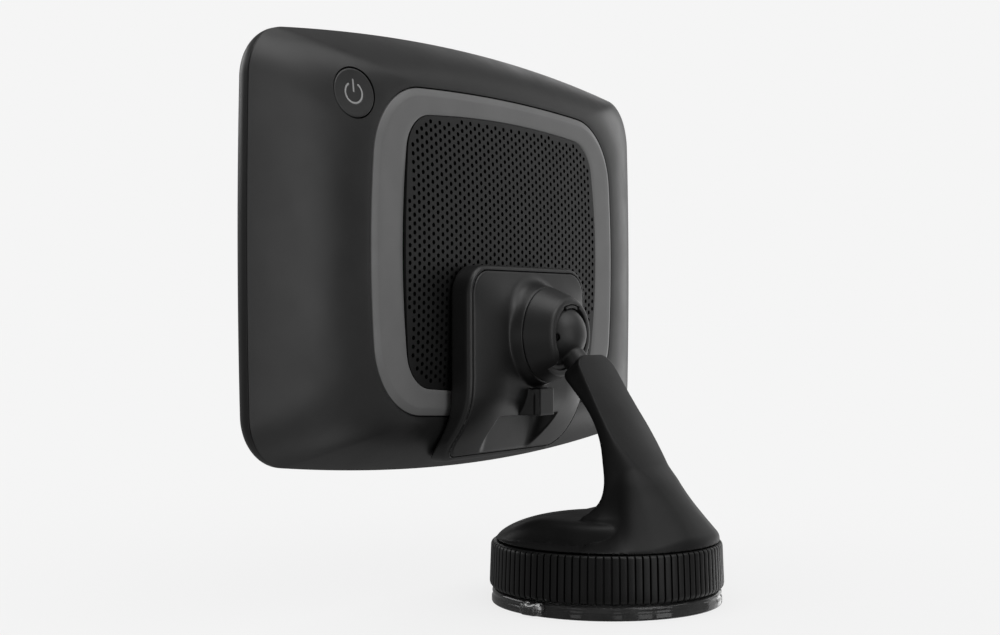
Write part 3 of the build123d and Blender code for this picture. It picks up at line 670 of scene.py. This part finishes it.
def base_field(x, y, z):
    """The whole base: arm, skirt and hub in one skin, hollow below, with the neck's hole."""
    radius = np.hypot(x, y)
    flow = 1.0 + 5.5 * np.maximum(smooth_step(np.abs(x), 8.0, 15.0), smooth_step(-z, -38.0, -30.0))
    foot = smooth_min(foot_field(x, y, z), arm_field(x, y, z), flow)
    climb = 3.8 * smooth_step(z, 20.4, 23.0) * smooth_step(-y, -15.0, -7.0)
    dome = smooth_min(foot, hub_field(x, y, z), 0.3 + climb)
    dome = smooth_max(dome, radius - BASE_EDGE, 0.8)
    dome = np.maximum(dome, BASE_BOTTOM - z)
    wall = np.maximum(np.abs(radius - WALL_RADIUS) - 1.1, z - HOLLOW_TOP)
    guide = np.abs(radius - GUIDE_RADIUS) - (GUIDE_RADIUS - GUIDE_BORE)
    guide = np.maximum(guide, np.maximum(z - HOLLOW_TOP, 9.4 - z))
    under = np.maximum(np.minimum(wall, guide), 4.4 - z)
    slot = np.maximum(np.abs(y) - PIN_SLOT_HALF, z - 13.6)
    under = np.maximum(under, -slot)
    whole = np.minimum(dome, under)
    whole = np.maximum(whole, -np.maximum(radius - GUIDE_BORE, z - 18.6))
    along, across = about_neck(x, y, z)
    return smooth_max(whole, -np.maximum(across - NECK_RADIUS - 0.05, along - NECK_END), 0.3)


def about_neck(x, y, z):
    """Distances along and away from the axis that the neck shares with the ball."""
    across_y, across_z = y - BALL[1], z - BALL[2]
    along = across_y * NECK_ALONG[1] + across_z * NECK_ALONG[2]
    off = across_y * NECK_ALONG[2] - across_z * NECK_ALONG[1]
    return along, np.hypot(x, off)


def make_arm():
    box = (-29, -29, 4.2), (29, 29.2, 62.5)
    field_piece("arm_and_base", base_field, box, 0.42, "arm_plastic", "mount_base", "arm_base", 50)


# -------- lock ring
RIBS = 98
RIB_STEPS = 16
RING_INNER = 25.7
RING_BOTTOM = 3.8
RING_TOP = 15.2


def rib_depth(turn):
    """How deep the knurling cuts at a share of one rib, from 0 to 1."""
    off = abs(turn - 0.5)
    return 0.75 * float(smooth_step(np.array(off), 0.37, 0.44)) + 0.07 * (2 * off) ** 2


def make_lock_ring():
    """The knurled ring: ribs with rounded tops and ends between dark grooves."""
    # radius, height and share of the knurling for each row of the closed section
    rows = [(RING_INNER, RING_BOTTOM, 0), (28.1, RING_BOTTOM, 0), (28.75, 3.85, 0), (29.05, 4.1, 0.5),
            (29.35, 4.5, 1), (29.48, 5.1, 1), (29.4, 7.5, 1), (29.3, 10.0, 1), (29.2, 12.6, 1),
            (29.13, 14.2, 1), (29.06, 14.55, 1), (28.9, 14.85, 0.75), (28.6, 15.1, 0.2),
            (28.2, RING_TOP, 0), (RING_INNER, RING_TOP, 0), (RING_INNER, 13.4, 0), (27.0, 13.4, 0),
            (27.0, 7.0, 0), (RING_INNER, 7.0, 0)]
    count = RIBS * RIB_STEPS
    points = []
    for radius, height, share in rows:
        for step in range(count):
            turn = 2 * math.pi * step / count
            deep = radius - share * rib_depth((step % RIB_STEPS) / RIB_STEPS)
            points.append((deep * math.cos(turn), deep * math.sin(turn), height))
    faces = ring_faces(len(rows), count)
    piece = new_piece("knurled_ring", points, faces, "ring_plastic", "lock_ring", ["lock_ring"])
    keep_edges(piece, 38)


# -------- suction cup
CUP_EDGE = 28.95
TAB_TURN = math.radians(-7)
TAB_MIDDLE = 28.2


def cup_field(x, y, z):
    """A thin clear bell with a flat lip and a thick, grooved rim under the ring."""
    radius = np.hypot(x, y)
    under = 3.3 * (1 - smooth_step(radius, 9.0, 24.0))
    over = 3.9 + 0.5 * smooth_step(radius, 22, 24) - 0.9 * smooth_step(radius, 25.0, 25.8)
    rim = smooth_max(radius - CUP_EDGE, z - over, 1.5)
    body = smooth_max(rim, under - z, 0.25)
    body = smooth_max(body, 9.2 - radius, 0.4)
    groove = np.hypot(radius - 29.4, z - 2.05) - 0.7
    return smooth_max(body, -groove, 0.3)


def tab_field(x, y, z):
    """The tab that stands out of the cup's rim, with a shallow dish for a fingertip."""
    u = x * math.cos(TAB_TURN) + y * math.sin(TAB_TURN) - TAB_MIDDLE
    v = -x * math.sin(TAB_TURN) + y * math.cos(TAB_TURN)
    tab = rounded_box(u, v, 2.9, 3.3, 2.2)
    tab = smooth_max(tab, np.abs(z - 1.75) - 1.45, 0.9)
    dimple = np.sqrt(((u - 1.5) / 1.0) ** 2 + (v / 1.9) ** 2 + ((z - 3.1) / 0.9) ** 2) - 1
    tab = smooth_max(tab, -dimple * 0.7, 0.2)
    return smooth_max(tab, CUP_EDGE - 0.2 - np.hypot(x, y), 0.1)


def make_cup():
    points, faces = field_surface(cup_field, (-29.4, -29.4, 0), (31.8, 29.4, 4.6), 0.28)
    points[:, 2] = np.maximum(points[:, 2], 0)
    new_piece("clear_cup", points, faces, "cup_clear", "mount_base", ["suction_cup"])
    points, faces = field_surface(tab_field, (27.5, -8, 0), (31.8, 1, 3.6), 0.12)
    tab = new_piece("cup_tab", points, faces, "cup_clear", "mount_base")
    # the tab gets a much lighter copy of the cup's rubber: clear without the cup's painted shade, and
    # lighter still as painted highlight on its edges
    clear_rubber("cup_tab_painted_highlight", grey(190), grey(215), 0.95)
    tab.data.materials[0] = MATERIALS["cup_tab_painted_highlight"]


# -------- outlines
class Outline:
    """A rectangle with bowed sides and round corners, about a centre at height zero."""

    def __init__(self, half_width, half_height, top_rise, side_rise, corner):
        self.sizes = (half_width, half_height, top_rise, side_rise, corner)

    def moved_in(self, inset):
        width, height, top, side, corner = self.sizes
        return Outline(width - inset, height - inset, top, side, corner - inset)

    def towards(self, other, share):
        return Outline(*(a + (b - a) * share for a, b in zip(self.sizes, other.sizes)))

    def quarter(self, flat, bend):
        """Points from the middle of the top to the middle of the right side."""
        width, height, top, side, corner = self.sizes
        edge_x, edge_z = width - side, height - top
        top_radius = (edge_x**2 + top**2) / (2 * top)
        side_radius = (edge_z**2 + side**2) / (2 * side)
        top_middle = np.array([0.0, height - top_radius])
        side_middle = np.array([width - side_radius, 0.0])
        reach_top, reach_side = top_radius - corner, side_radius - corner
        line = side_middle - top_middle
        far = np.hypot(*line)
        along = (reach_top**2 - reach_side**2 + far**2) / (2 * far)
        off = math.sqrt(max(reach_top**2 - along**2, 0))
        unit = line / far
        options = [top_middle + along * unit + s * off * np.array([-unit[1], unit[0]]) for s in (1, -1)]
        middle = max(options, key=lambda p: p[0] + p[1])
        to_top = math.atan2(*(middle - top_middle)[::-1])
        to_side = math.atan2(*(middle - side_middle)[::-1])
        points = []
        for angle in np.linspace(math.pi / 2, to_top, flat, endpoint=False):
            points.append(top_middle + top_radius * np.array([math.cos(angle), math.sin(angle)]))
        for angle in np.linspace(to_top, to_side, bend, endpoint=False):
            points.append(middle + corner * np.array([math.cos(angle), math.sin(angle)]))
        for angle in np.linspace(to_side, 0, flat, endpoint=False):
            points.append(side_middle + side_radius * np.array([math.cos(angle), math.sin(angle)]))
        return np.array(points)

    def loop(self, flat=24, bend=22):
        """The whole outline, clockwise as seen by someone who looks along -Y."""
        width, height = self.sizes[:2]
        part = self.quarter(flat, bend)
        half = np.vstack([part, [[width, 0]], part[1:][::-1] * [1, -1]])
        return np.vstack([half, [[0, -height]], half[1:][::-1] * [-1, 1]])


NAV_Z = 87.35
CREASE = Outline(84.9, 55.05, 5.8, 1.0, 12.5)
COVER_HOLE = Outline(55.6, 41.5, 2.3, 3.1, 19.3)
TRIM_EDGE = Outline(55.3, 41.2, 2.3, 3.1, 19.0)
GRILLE_EDGE = Outline(44.1, 35.1, 2.1, 2.7, 10.0)


def sleeve(loops):
    """Points and faces of a closed shell whose section runs through the given (outline, y) rows."""
    points = []
    for outline, y in loops:
        for x, z in outline.loop():
            points.append((x, y, z + NAV_Z))
    count = len(loops[0][0].loop())
    return points, ring_faces(len(loops), count)


# -------- speaker grille
HOLE_PITCH = 2.13
HOLE_RADIUS = 0.60
HOLE_SIDES = 10
HOLE_MARGIN = 1.15
GRILLE_Y = -29.0
GRILLE_Z = 88.7
GRILLE_THICKNESS = 0.8
DOME_RADIUS_X = 2008.0
DOME_RADIUS_Z = 528.0


def grille_y(x, z):
    """Depth of the grille's shallow dome."""
    return GRILLE_Y - x**2 / (2 * DOME_RADIUS_X) - (z - GRILLE_Z) ** 2 / (2 * DOME_RADIUS_Z)


def inside_loop(loop, x, z):
    """True for the points that lie inside a closed loop."""
    ahead = np.roll(loop, -1, axis=0)
    found = np.zeros(len(x), bool)
    for (x0, z0), (x1, z1) in zip(loop, ahead):
        crosses = (z0 > z) != (z1 > z)
        if z0 != z1:
            found ^= crosses & (x < (x1 - x0) * (z - z0) / (z1 - z0) + x0)
    return found


def grille_holes():
    """Middles of the holes: a regular triangular field, kept clear of the edge."""
    column_pitch = HOLE_PITCH * math.sqrt(3) / 2
    spots = []
    for column in range(-23, 24):
        odd = 0.5 if column % 2 == 0 else 0.0
        for row in range(-17, 17):
            spots.append((column * column_pitch, GRILLE_Z + (row + odd) * HOLE_PITCH))
    spots = np.array(spots)
    edge = GRILLE_EDGE.moved_in(HOLE_MARGIN).loop() + [0, NAV_Z]
    return spots[inside_loop(edge, spots[:, 0], spots[:, 1])]


def make_grille():
    """The perforated plate, with a real hole for every dot."""
    edge = GRILLE_EDGE.moved_in(0.12).loop() + [0, NAV_Z]
    flat = [Vector(p) for p in edge[::-1]]
    rings = [list(range(len(flat)))]
    for x, z in grille_holes():
        first = len(flat)
        for side in range(HOLE_SIDES):
            angle = 2 * math.pi * side / HOLE_SIDES
            flat.append(Vector((x + HOLE_RADIUS * math.cos(angle), z + HOLE_RADIUS * math.sin(angle))))
        rings.append(list(range(first, first + HOLE_SIDES)))
    made = delaunay_2d_cdt(flat, [], rings, 0, 1e-5)
    corners, faces, origins = made[0], made[2], made[5]
    plate = [face for face, origin in zip(faces, origins) if list(origin) == [0]]
    count = len(corners)
    points = [(p.x, grille_y(p.x, p.y), p.y) for p in corners]
    points += [(p.x, grille_y(p.x, p.y) - GRILLE_THICKNESS, p.y) for p in corners]
    solid = [tuple(face) if facing_back(corners, face) else tuple(face)[::-1] for face in plate]
    under = [tuple(i + count for i in face)[::-1] for face in solid]
    edges = dict.fromkeys((a, b) for face in solid for a, b in zip(face, face[1:] + face[:1]))
    walls = [(b, a, a + count, b + count) for a, b in edges if (b, a) not in edges]
    new_piece("perforated_grille", points, solid + under + walls, "grille", "navigator",
              ["speaker_grille"], smooth=False)


def facing_back(corners, face):
    """True if a flat face, drawn in X and Z, has its normal towards +Y."""
    a, b, c = (corners[i] for i in face[:3])
    return (b.x - a.x) * (c.y - a.y) - (b.y - a.y) * (c.x - a.x) < 0


# -------- casing
CREASE_Y = -42.3
SCREEN_Y = -47.7
COVER_TOP_Y = -31.0
COVER_WALL = 1.8
COVER_POWER = 1.8
TRIM_FACE_Y = -30.2
TRIM_BACK_Y = -34.0
GLASS_INSET = 4.4
GLASS_THICKNESS = 1.1
WINDOW_INSET = 8.0
BEZEL_EDGE = 4.2
BUTTON_CENTRE = np.array([59.5, -32.5, 123.7])
BUTTON_NORMAL = np.array([0.217, 1.0, 0.138]) / math.sqrt(0.217**2 + 1 + 0.138**2)
BUTTON_RADIUS = 5.95
BUTTON_GAP = 0.3


def cover_row(share, wall=0.0):
    """The cover's outline and depth at a share of the way from its opening to the crease."""
    outline = COVER_HOLE.towards(CREASE, share)
    y = COVER_TOP_Y + (CREASE_Y - COVER_TOP_Y) * share**COVER_POWER
    return outline.moved_in(wall), y - wall


def cut_with_cylinder(piece, centre, normal, radius, depth):
    """Takes a round hole out of a piece."""
    bpy.ops.mesh.primitive_cylinder_add(vertices=96, radius=radius * MM, depth=depth * MM)
    cutter = bpy.context.object
    cutter.rotation_mode = "QUATERNION"
    cutter.rotation_quaternion = Vector(normal).to_track_quat("Z", "Y")
    cutter.location = Vector(centre) * MM
    cut = piece.modifiers.new("cut", "BOOLEAN")
    cut.object = cutter
    cut.operation = "DIFFERENCE"
    cut.solver = "EXACT"
    graph = bpy.context.evaluated_depsgraph_get()
    mesh = bpy.data.meshes.new_from_object(piece.evaluated_get(graph))
    piece.modifiers.clear()
    piece.data = mesh
    bpy.data.objects.remove(cutter)


def make_back_cover():
    """The pillow-shaped back, open in the middle for the trim and at one corner for the button."""
    steps = 34
    rows = [(COVER_HOLE, COVER_TOP_Y - 0.25), (COVER_HOLE.moved_in(-0.08), COVER_TOP_Y - 0.06)]
    rows += [cover_row(0.01 + 0.985 * step / steps) for step in range(1, steps)]
    rows += [cover_row(1.0), (CREASE.moved_in(0.12), CREASE_Y - 0.12),
             (CREASE.moved_in(COVER_WALL), CREASE_Y - 0.12)]
    rows += [cover_row(step / steps * 0.985, COVER_WALL) for step in range(steps, -1, -2)]
    rows.append((COVER_HOLE, COVER_TOP_Y - COVER_WALL))
    points, faces = sleeve(rows)
    piece = new_piece("pillow_cover", points, faces, "cover_plastic", "navigator", ["back_cover"])
    cut_with_cylinder(piece, BUTTON_CENTRE, BUTTON_NORMAL, BUTTON_RADIUS + BUTTON_GAP, 9.0)
    keep_edges(piece, 32)


def make_bezel():
    """The front frame: a narrow band round the edge, rounded over to the glass."""
    rows = [(CREASE.moved_in(0.15), CREASE_Y - 0.3), (CREASE, CREASE_Y - 0.45)]
    for step in range(13):
        turn = math.pi / 2 * step / 12
        rows.append((CREASE.moved_in(BEZEL_EDGE * (1 - math.cos(turn))),
                     SCREEN_Y + BEZEL_EDGE * (1 - math.sin(turn))))
    seat_y, back_y = SCREEN_Y + GLASS_THICKNESS, SCREEN_Y + 2.4
    ledge = [(GLASS_INSET, SCREEN_Y), (GLASS_INSET, seat_y), (WINDOW_INSET, seat_y),
             (WINDOW_INSET, back_y), (2.0, back_y), (2.0, CREASE_Y - 0.3)]
    rows += [(CREASE.moved_in(inset), y) for inset, y in ledge]
    points, faces = sleeve(rows)
    piece = new_piece("rounded_bezel", points, faces, "bezel_plastic", "navigator", ["front_bezel"])
    keep_edges(piece, 40)


def make_trim():
    """The satin ring round the grille, with a bright bevel along its outer edge."""
    # inset and depth below the face, from the outer edge to the flat
    bevel = [(0, 0.92), (0.06, 0.78), (0.22, 0.68), (1.55, 0.10), (1.8, 0.03), (2.05, 0)]
    rows = [(TRIM_EDGE, TRIM_BACK_Y)]
    rows += [(TRIM_EDGE.moved_in(inset), TRIM_FACE_Y - deep) for inset, deep in bevel]
    start, end = TRIM_EDGE.moved_in(2.05), GRILLE_EDGE.moved_in(-0.45)
    rows += [(start.towards(end, step / 5), TRIM_FACE_Y) for step in range(1, 6)]
    rounding = [(-0.2, 0.07), (-0.05, 0.22), (0, 0.5)]
    rows += [(GRILLE_EDGE.moved_in(inset), TRIM_FACE_Y - deep) for inset, deep in rounding]
    rows.append((GRILLE_EDGE, TRIM_BACK_Y))
    points, faces = sleeve(rows)
    piece = new_piece("bevelled_trim", points, faces, "trim_plastic", "navigator", ["trim_ring"])
    keep_edges(piece, 35)


# -------- power button
SYMBOL_RADIUS = 2.45
SYMBOL_LINE = 0.25
SYMBOL_GAP = 0.62


def symbol_field(u, v):
    """A broken ring with an upright bar in its gap, drawn flat."""
    bar = np.hypot(u, np.maximum(np.abs(v - 1.75) - 1.35, 0)) - SYMBOL_LINE
    gap_sin, gap_cos = math.sin(SYMBOL_GAP), math.cos(SYMBOL_GAP)
    end = np.hypot(np.abs(u) - SYMBOL_RADIUS * gap_sin, v - SYMBOL_RADIUS * gap_cos)
    on_ring = np.abs(u) * gap_cos - v * gap_sin > 0
    arc = np.where(on_ring, np.abs(np.hypot(u, v) - SYMBOL_RADIUS), end)
    return np.minimum(bar, arc - SYMBOL_LINE)


def button_dish(radius):
    """How far the button's face lies below its edge."""
    return 0.10 * (radius / BUTTON_RADIUS) ** 2 - 0.10


def mark_field(u, v, w):
    """The pale fill of the pressed symbol, almost flush with the button's face: painted highlight for
    the lit edges of its groove.
    """
    face = w - button_dish(np.hypot(u, v))
    return np.maximum(symbol_field(u, v) + 0.02, np.maximum(face + 0.07, -0.40 - w))


def button_field(u, v, w):
    """A disc with a power symbol pressed into its face; w is the height above the face."""
    radius = np.hypot(u, v)
    disc = smooth_max(radius - BUTTON_RADIUS, w - button_dish(radius), 0.55)
    disc = np.maximum(disc, -3.6 - w)
    flange = np.maximum(radius - BUTTON_RADIUS - 0.9, np.maximum(w + 3.0, -3.6 - w))
    disc = np.minimum(disc, flange)
    groove = smooth_max(symbol_field(u, v), -0.42 - w, 0.12)
    return smooth_max(disc, -groove, 0.12)


def on_button(points):
    """Turns points on the button's own axes into places on the casing."""
    up = np.array([0.0, 0.0, 1.0])
    up = up - BUTTON_NORMAL * (up @ BUTTON_NORMAL)
    up /= np.linalg.norm(up)
    right = np.cross(up, BUTTON_NORMAL)
    return BUTTON_CENTRE + points @ np.stack([right, up, BUTTON_NORMAL])


def make_button():
    points, faces = field_surface(button_field, (-7, -7, -3.7), (7, 7, 0.1), 0.13)
    piece = new_piece("power_key", on_button(points), faces, "button_plastic", "power_button",
                      ["power_button"])
    keep_edges(piece, 60)
    # a pale fill in the symbol's groove: painted highlight for its lit edges
    points, faces = field_surface(mark_field, (-2.9, -2.9, -0.5), (2.9, 3.5, 0), 0.09)
    piece = new_piece("power_mark", on_button(points), faces, "trim_plastic", "power_button")
    moulded("symbol_painted_highlight", grey(165), 0.35, spread=1.03)
    piece.data.materials[0] = MATERIALS["symbol_painted_highlight"]
    keep_edges(piece, 40)


# -------- clip
CLIP_TOP, CLIP_BOTTOM, CLIP_HALF = 84.5, 34.6, 27.2
CLIP_MIDDLE = (CLIP_TOP + CLIP_BOTTOM) / 2
FACE_INSET = 1.4
BOSS_TOP_Y = -17.2
SEAT_POCKET = 9.12
SCOOP_CEILING = 45.8
HOOD_TOP = 52.9
MAGNET_X, MAGNET_Z, MAGNET_POCKET = 20, 54.4, 3.3
SCREW_X, SCREW_LOW, SCREW_HIGH, SCREW_POCKET = 20, 47.55, 74.55, 2.0
PIN_PITCH, PIN_Z, PIN_HOLE = 2.54, 49.6, 0.62
clip_front = through([(33.6, -33.8), (36.5, -31.2), (40.0, -28.3), (43.5, -25.85), (47.2, -24.0),
                      (51.0, -22.95), (55.5, -22.6), (60.0, -22.6), (84.0, -22.6)])
clip_back = through([(34.0, -38.6), (35.0, -38.0), (37.6, -35.0), (40.0, -32.9), (43.0, -31.0),
                     (46.0, -29.6), (50.0, -28.6), (54.0, -28.6), (84.0, -28.6)])


def lean(curve, z):
    """Turns a distance along Y into one across a sloping face."""
    slope = curve(z + 0.5) - curve(z - 0.5)
    return 1 / np.sqrt(1 + slope**2)


def clip_outline(x, z, inset):
    """The clip seen from behind, with larger corners above than below."""
    radius = np.where(z > CLIP_MIDDLE, 8.0, 6.0) - inset
    half_height = (CLIP_TOP - CLIP_BOTTOM) / 2 - inset
    return rounded_box(x, z - CLIP_MIDDLE, CLIP_HALF - inset, half_height, radius)


def scoop_field(x, y, z):
    """The space under the hood that a cable's plug comes up through."""
    slant = y + 21.5 + (SCOOP_CEILING - z) * 0.32
    return smooth_max(rounded_box(x, slant, 13.8, 7.0, 4.6), z - SCOOP_CEILING, 0.4)


def plug_field(x, y, z, gap):
    """The part of the clip's front that reaches deeper, behind the scoop."""
    return np.maximum(rounded_box(x, z - 41.7, 16.0, 5.4, 3.0) + gap, clip_back(z) + 0.8 + gap - y)


def boss_distance(x, z):
    """Distance from the axis of the boss and the collar."""
    return np.hypot(x, z - BALL[2])


def ball_distance(x, y, z):
    return np.sqrt(x**2 + (y - BALL[1]) ** 2 + (z - BALL[2]) ** 2)


def housing_field(x, y, z):
    """The clip's back: a rim round a shallow tray, with room for its board, magnets and screws."""
    front = (y - clip_front(z)) * lean(clip_front, z)
    back = (clip_back(z) - y) * lean(clip_back, z)
    body = smooth_max(clip_outline(x, z, 0.0), front, 1.5)
    body = smooth_max(body, back, 0.7)
    pocket = np.maximum(clip_outline(x, z, 1.2), (clip_front(z) - 2.0 - y) * lean(clip_front, z))
    pocket = np.minimum(pocket, np.maximum(plug_field(x, y, z, -0.1), y - clip_front(z) - 1))
    body = smooth_max(body, -pocket, 0.3)
    body = smooth_max(body, -scoop_field(x, y, z), 0.4)
    board = np.maximum(rounded_box(x, z - 55, 15, 6, 2), -27.2 - y)
    body = np.maximum(body, -board)
    magnet = np.hypot(np.abs(x) - MAGNET_X, z - MAGNET_Z) - MAGNET_POCKET
    body = np.maximum(body, -np.maximum(magnet, y + 26.0))
    screw = np.hypot(np.abs(x) - SCREW_X, z - np.where(z > CLIP_MIDDLE, SCREW_HIGH, SCREW_LOW))
    body = np.maximum(body, -np.maximum(screw - SCREW_POCKET, y + 27.4))
    nearest = PIN_PITCH * np.clip(np.round(x / PIN_PITCH), -2, 2)
    pin = np.hypot(x - nearest, z - PIN_Z) - PIN_HOLE
    return np.maximum(body, -pin)


def clip_cover_field(x, y, z):
    """The clip's front: a gently dished plate that rises to the socket's boss, with the hood below."""
    around = boss_distance(x, z)
    edge = clip_outline(x, z, FACE_INSET)
    rise = 2.2 * (1 - (1 - np.clip((CLIP_HALF - FACE_INSET - np.abs(x)) / 12.0, 0, 1)) ** 2)
    rise = rise * smooth_step(z, 38.0, 52.0) * smooth_step(CLIP_TOP - FACE_INSET - z, -1.0, 12.0)
    front = (y - clip_front(z) - rise) * lean(clip_front, z) * 0.93
    plate = smooth_max(edge, front, 0.4)
    cone = (around - 13.2 + (y + 20.0) * 0.29) * 0.95
    boss = smooth_max(cone, y - BOSS_TOP_Y, 0.35)
    body = smooth_min(plate, boss, 0.5 + 1.5 * smooth_step(z - BALL[2], 0.0, 8.0))
    bar = rounded_box(x, y + 23.7, 3.7, 6.0, 0.6)
    flank = np.maximum((np.abs(x) - 3.9) * 0.966 + (y + 18.3) * 0.259, y + 18.3)
    hood = np.minimum(bar, flank)
    hood = smooth_max(hood, np.maximum(z - HOOD_TOP, SCOOP_CEILING - z), 0.35)
    hood = np.maximum(hood, -28.0 - y)
    body = smooth_min(body, hood, 0.35)
    body = smooth_max(body, -scoop_field(x, y, z), 0.4)
    layer_back = (clip_front(z) - 1.9 - y) * lean(clip_front, z)
    layer_back = np.minimum(layer_back, plug_field(x, y, z, 0.0))
    body = np.maximum(body, layer_back)
    port = np.maximum(rounded_box(x, y + 20.6, 4.0, 1.6, 0.4), z - 51.4)
    body = np.maximum(body, -port)
    return smooth_max(body, SEAT_POCKET - ball_distance(x, y, z), 0.2)


def make_clip():
    box = (-27.4, -39, 34.4), (27.4, -16, 84.7)
    field_piece("clip_shell", housing_field, box, 0.36, "clip_plastic", "clip", "clip_housing", 50)
    field_piece("clip_face", clip_cover_field, box, 0.36, "clip_cover_plastic", "clip", "clip_cover", 50)


# -------- ball joint
COLLAR_BACK = -17.05
COLLAR_FRONT = -10.0
POCKET_END = -13.2
COLLAR_LIP = 7.55
NOTCH_TURN = 0.44
TAB_HALF_TURN = 0.40
RELIEF_HALF = 6.0
HOLE_TOWARDS = np.array([0.835, 0.54, -0.08])
HOLE_TOWARDS /= math.sqrt(HOLE_TOWARDS @ HOLE_TOWARDS)


def collar_field(x, y, z):
    """The screwed collar: a cone with a flat front, an inner lip, two notches and the neck's relief."""
    around = boss_distance(x, z)
    cone = (around - 12.4 + (y - COLLAR_BACK) * 0.425) * 0.92
    body = smooth_max(cone, y - COLLAR_FRONT, 1.1)
    body = smooth_max(body, COLLAR_BACK - y, 0.3)
    from_ball = ball_distance(x, y, z)
    body = smooth_max(body, BALL_RADIUS + 0.25 - from_ball, 0.15)
    drop = z - BALL[2]
    turn = np.arctan2(np.abs(x), drop)
    lip = COLLAR_LIP - 0.75 * smooth_step((TAB_HALF_TURN - turn) * around, -0.15, 0.15)
    mouth = np.maximum(around - lip, -11.4 - y)
    body = smooth_max(body, -mouth, 0.25)
    pocket = np.maximum(from_ball - SEAT_POCKET, y - POCKET_END)
    body = np.maximum(body, -pocket)
    relief = np.hypot(x, drop - np.clip(drop, -8.4, 0)) - RELIEF_HALF
    body = smooth_max(body, -np.maximum(relief, POCKET_END - y), 0.5)
    off_notch = np.abs(turn - NOTCH_TURN) * around - 0.42
    notch = np.maximum(off_notch, np.maximum(around - 8.0, -12.4 - y))
    body = smooth_max(body, -notch, 0.2)
    past_notch = (turn - NOTCH_TURN) * around
    slit = np.maximum(np.abs(around - 7.7) - 0.17, np.maximum(past_notch, -10.7 - y))
    return smooth_max(body, -slit, 0.12)


def ball_field(x, y, z):
    """The ball with a hole in its face, and the short neck that carries it on the arm."""
    from_ball = ball_distance(x, y, z)
    along, around = about_neck(x, y, z)
    neck = smooth_max(around - NECK_RADIUS, along - NECK_END, 0.4)
    neck = np.maximum(neck, -along)
    body = smooth_min(from_ball - BALL_RADIUS, neck, 0.5)
    out = x * HOLE_TOWARDS[0] + (y - BALL[1]) * HOLE_TOWARDS[1] + (z - BALL[2]) * HOLE_TOWARDS[2]
    off = np.sqrt(np.maximum(from_ball**2 - out**2, 0))
    return smooth_max(body, -np.maximum(off - 1.0, 5.5 - out), 0.2)


def make_ball_joint():
    box = (-12.8, -17.3, 54), (12.8, -9.8, 79.6)
    field_piece("grip_collar", collar_field, box, 0.2, "collar_plastic", "clip", "socket_collar", 55)
    box = (-8.2, -23.2, 56), (8.2, -4.0, 75)
    field_piece("ball_and_neck", ball_field, box, 0.26, "ball_plastic", "mount_base", "ball_stud", 55)


# -------- build
bpy.context.scene.view_settings.view_transform = "Standard"
make_camera()
make_world()
make_lights(make_floor())
paint_nodes()
for make in (make_arm, make_lock_ring, make_cup, make_grille, make_back_cover, make_bezel, make_trim,
             make_button, make_clip, make_ball_joint):
    make()
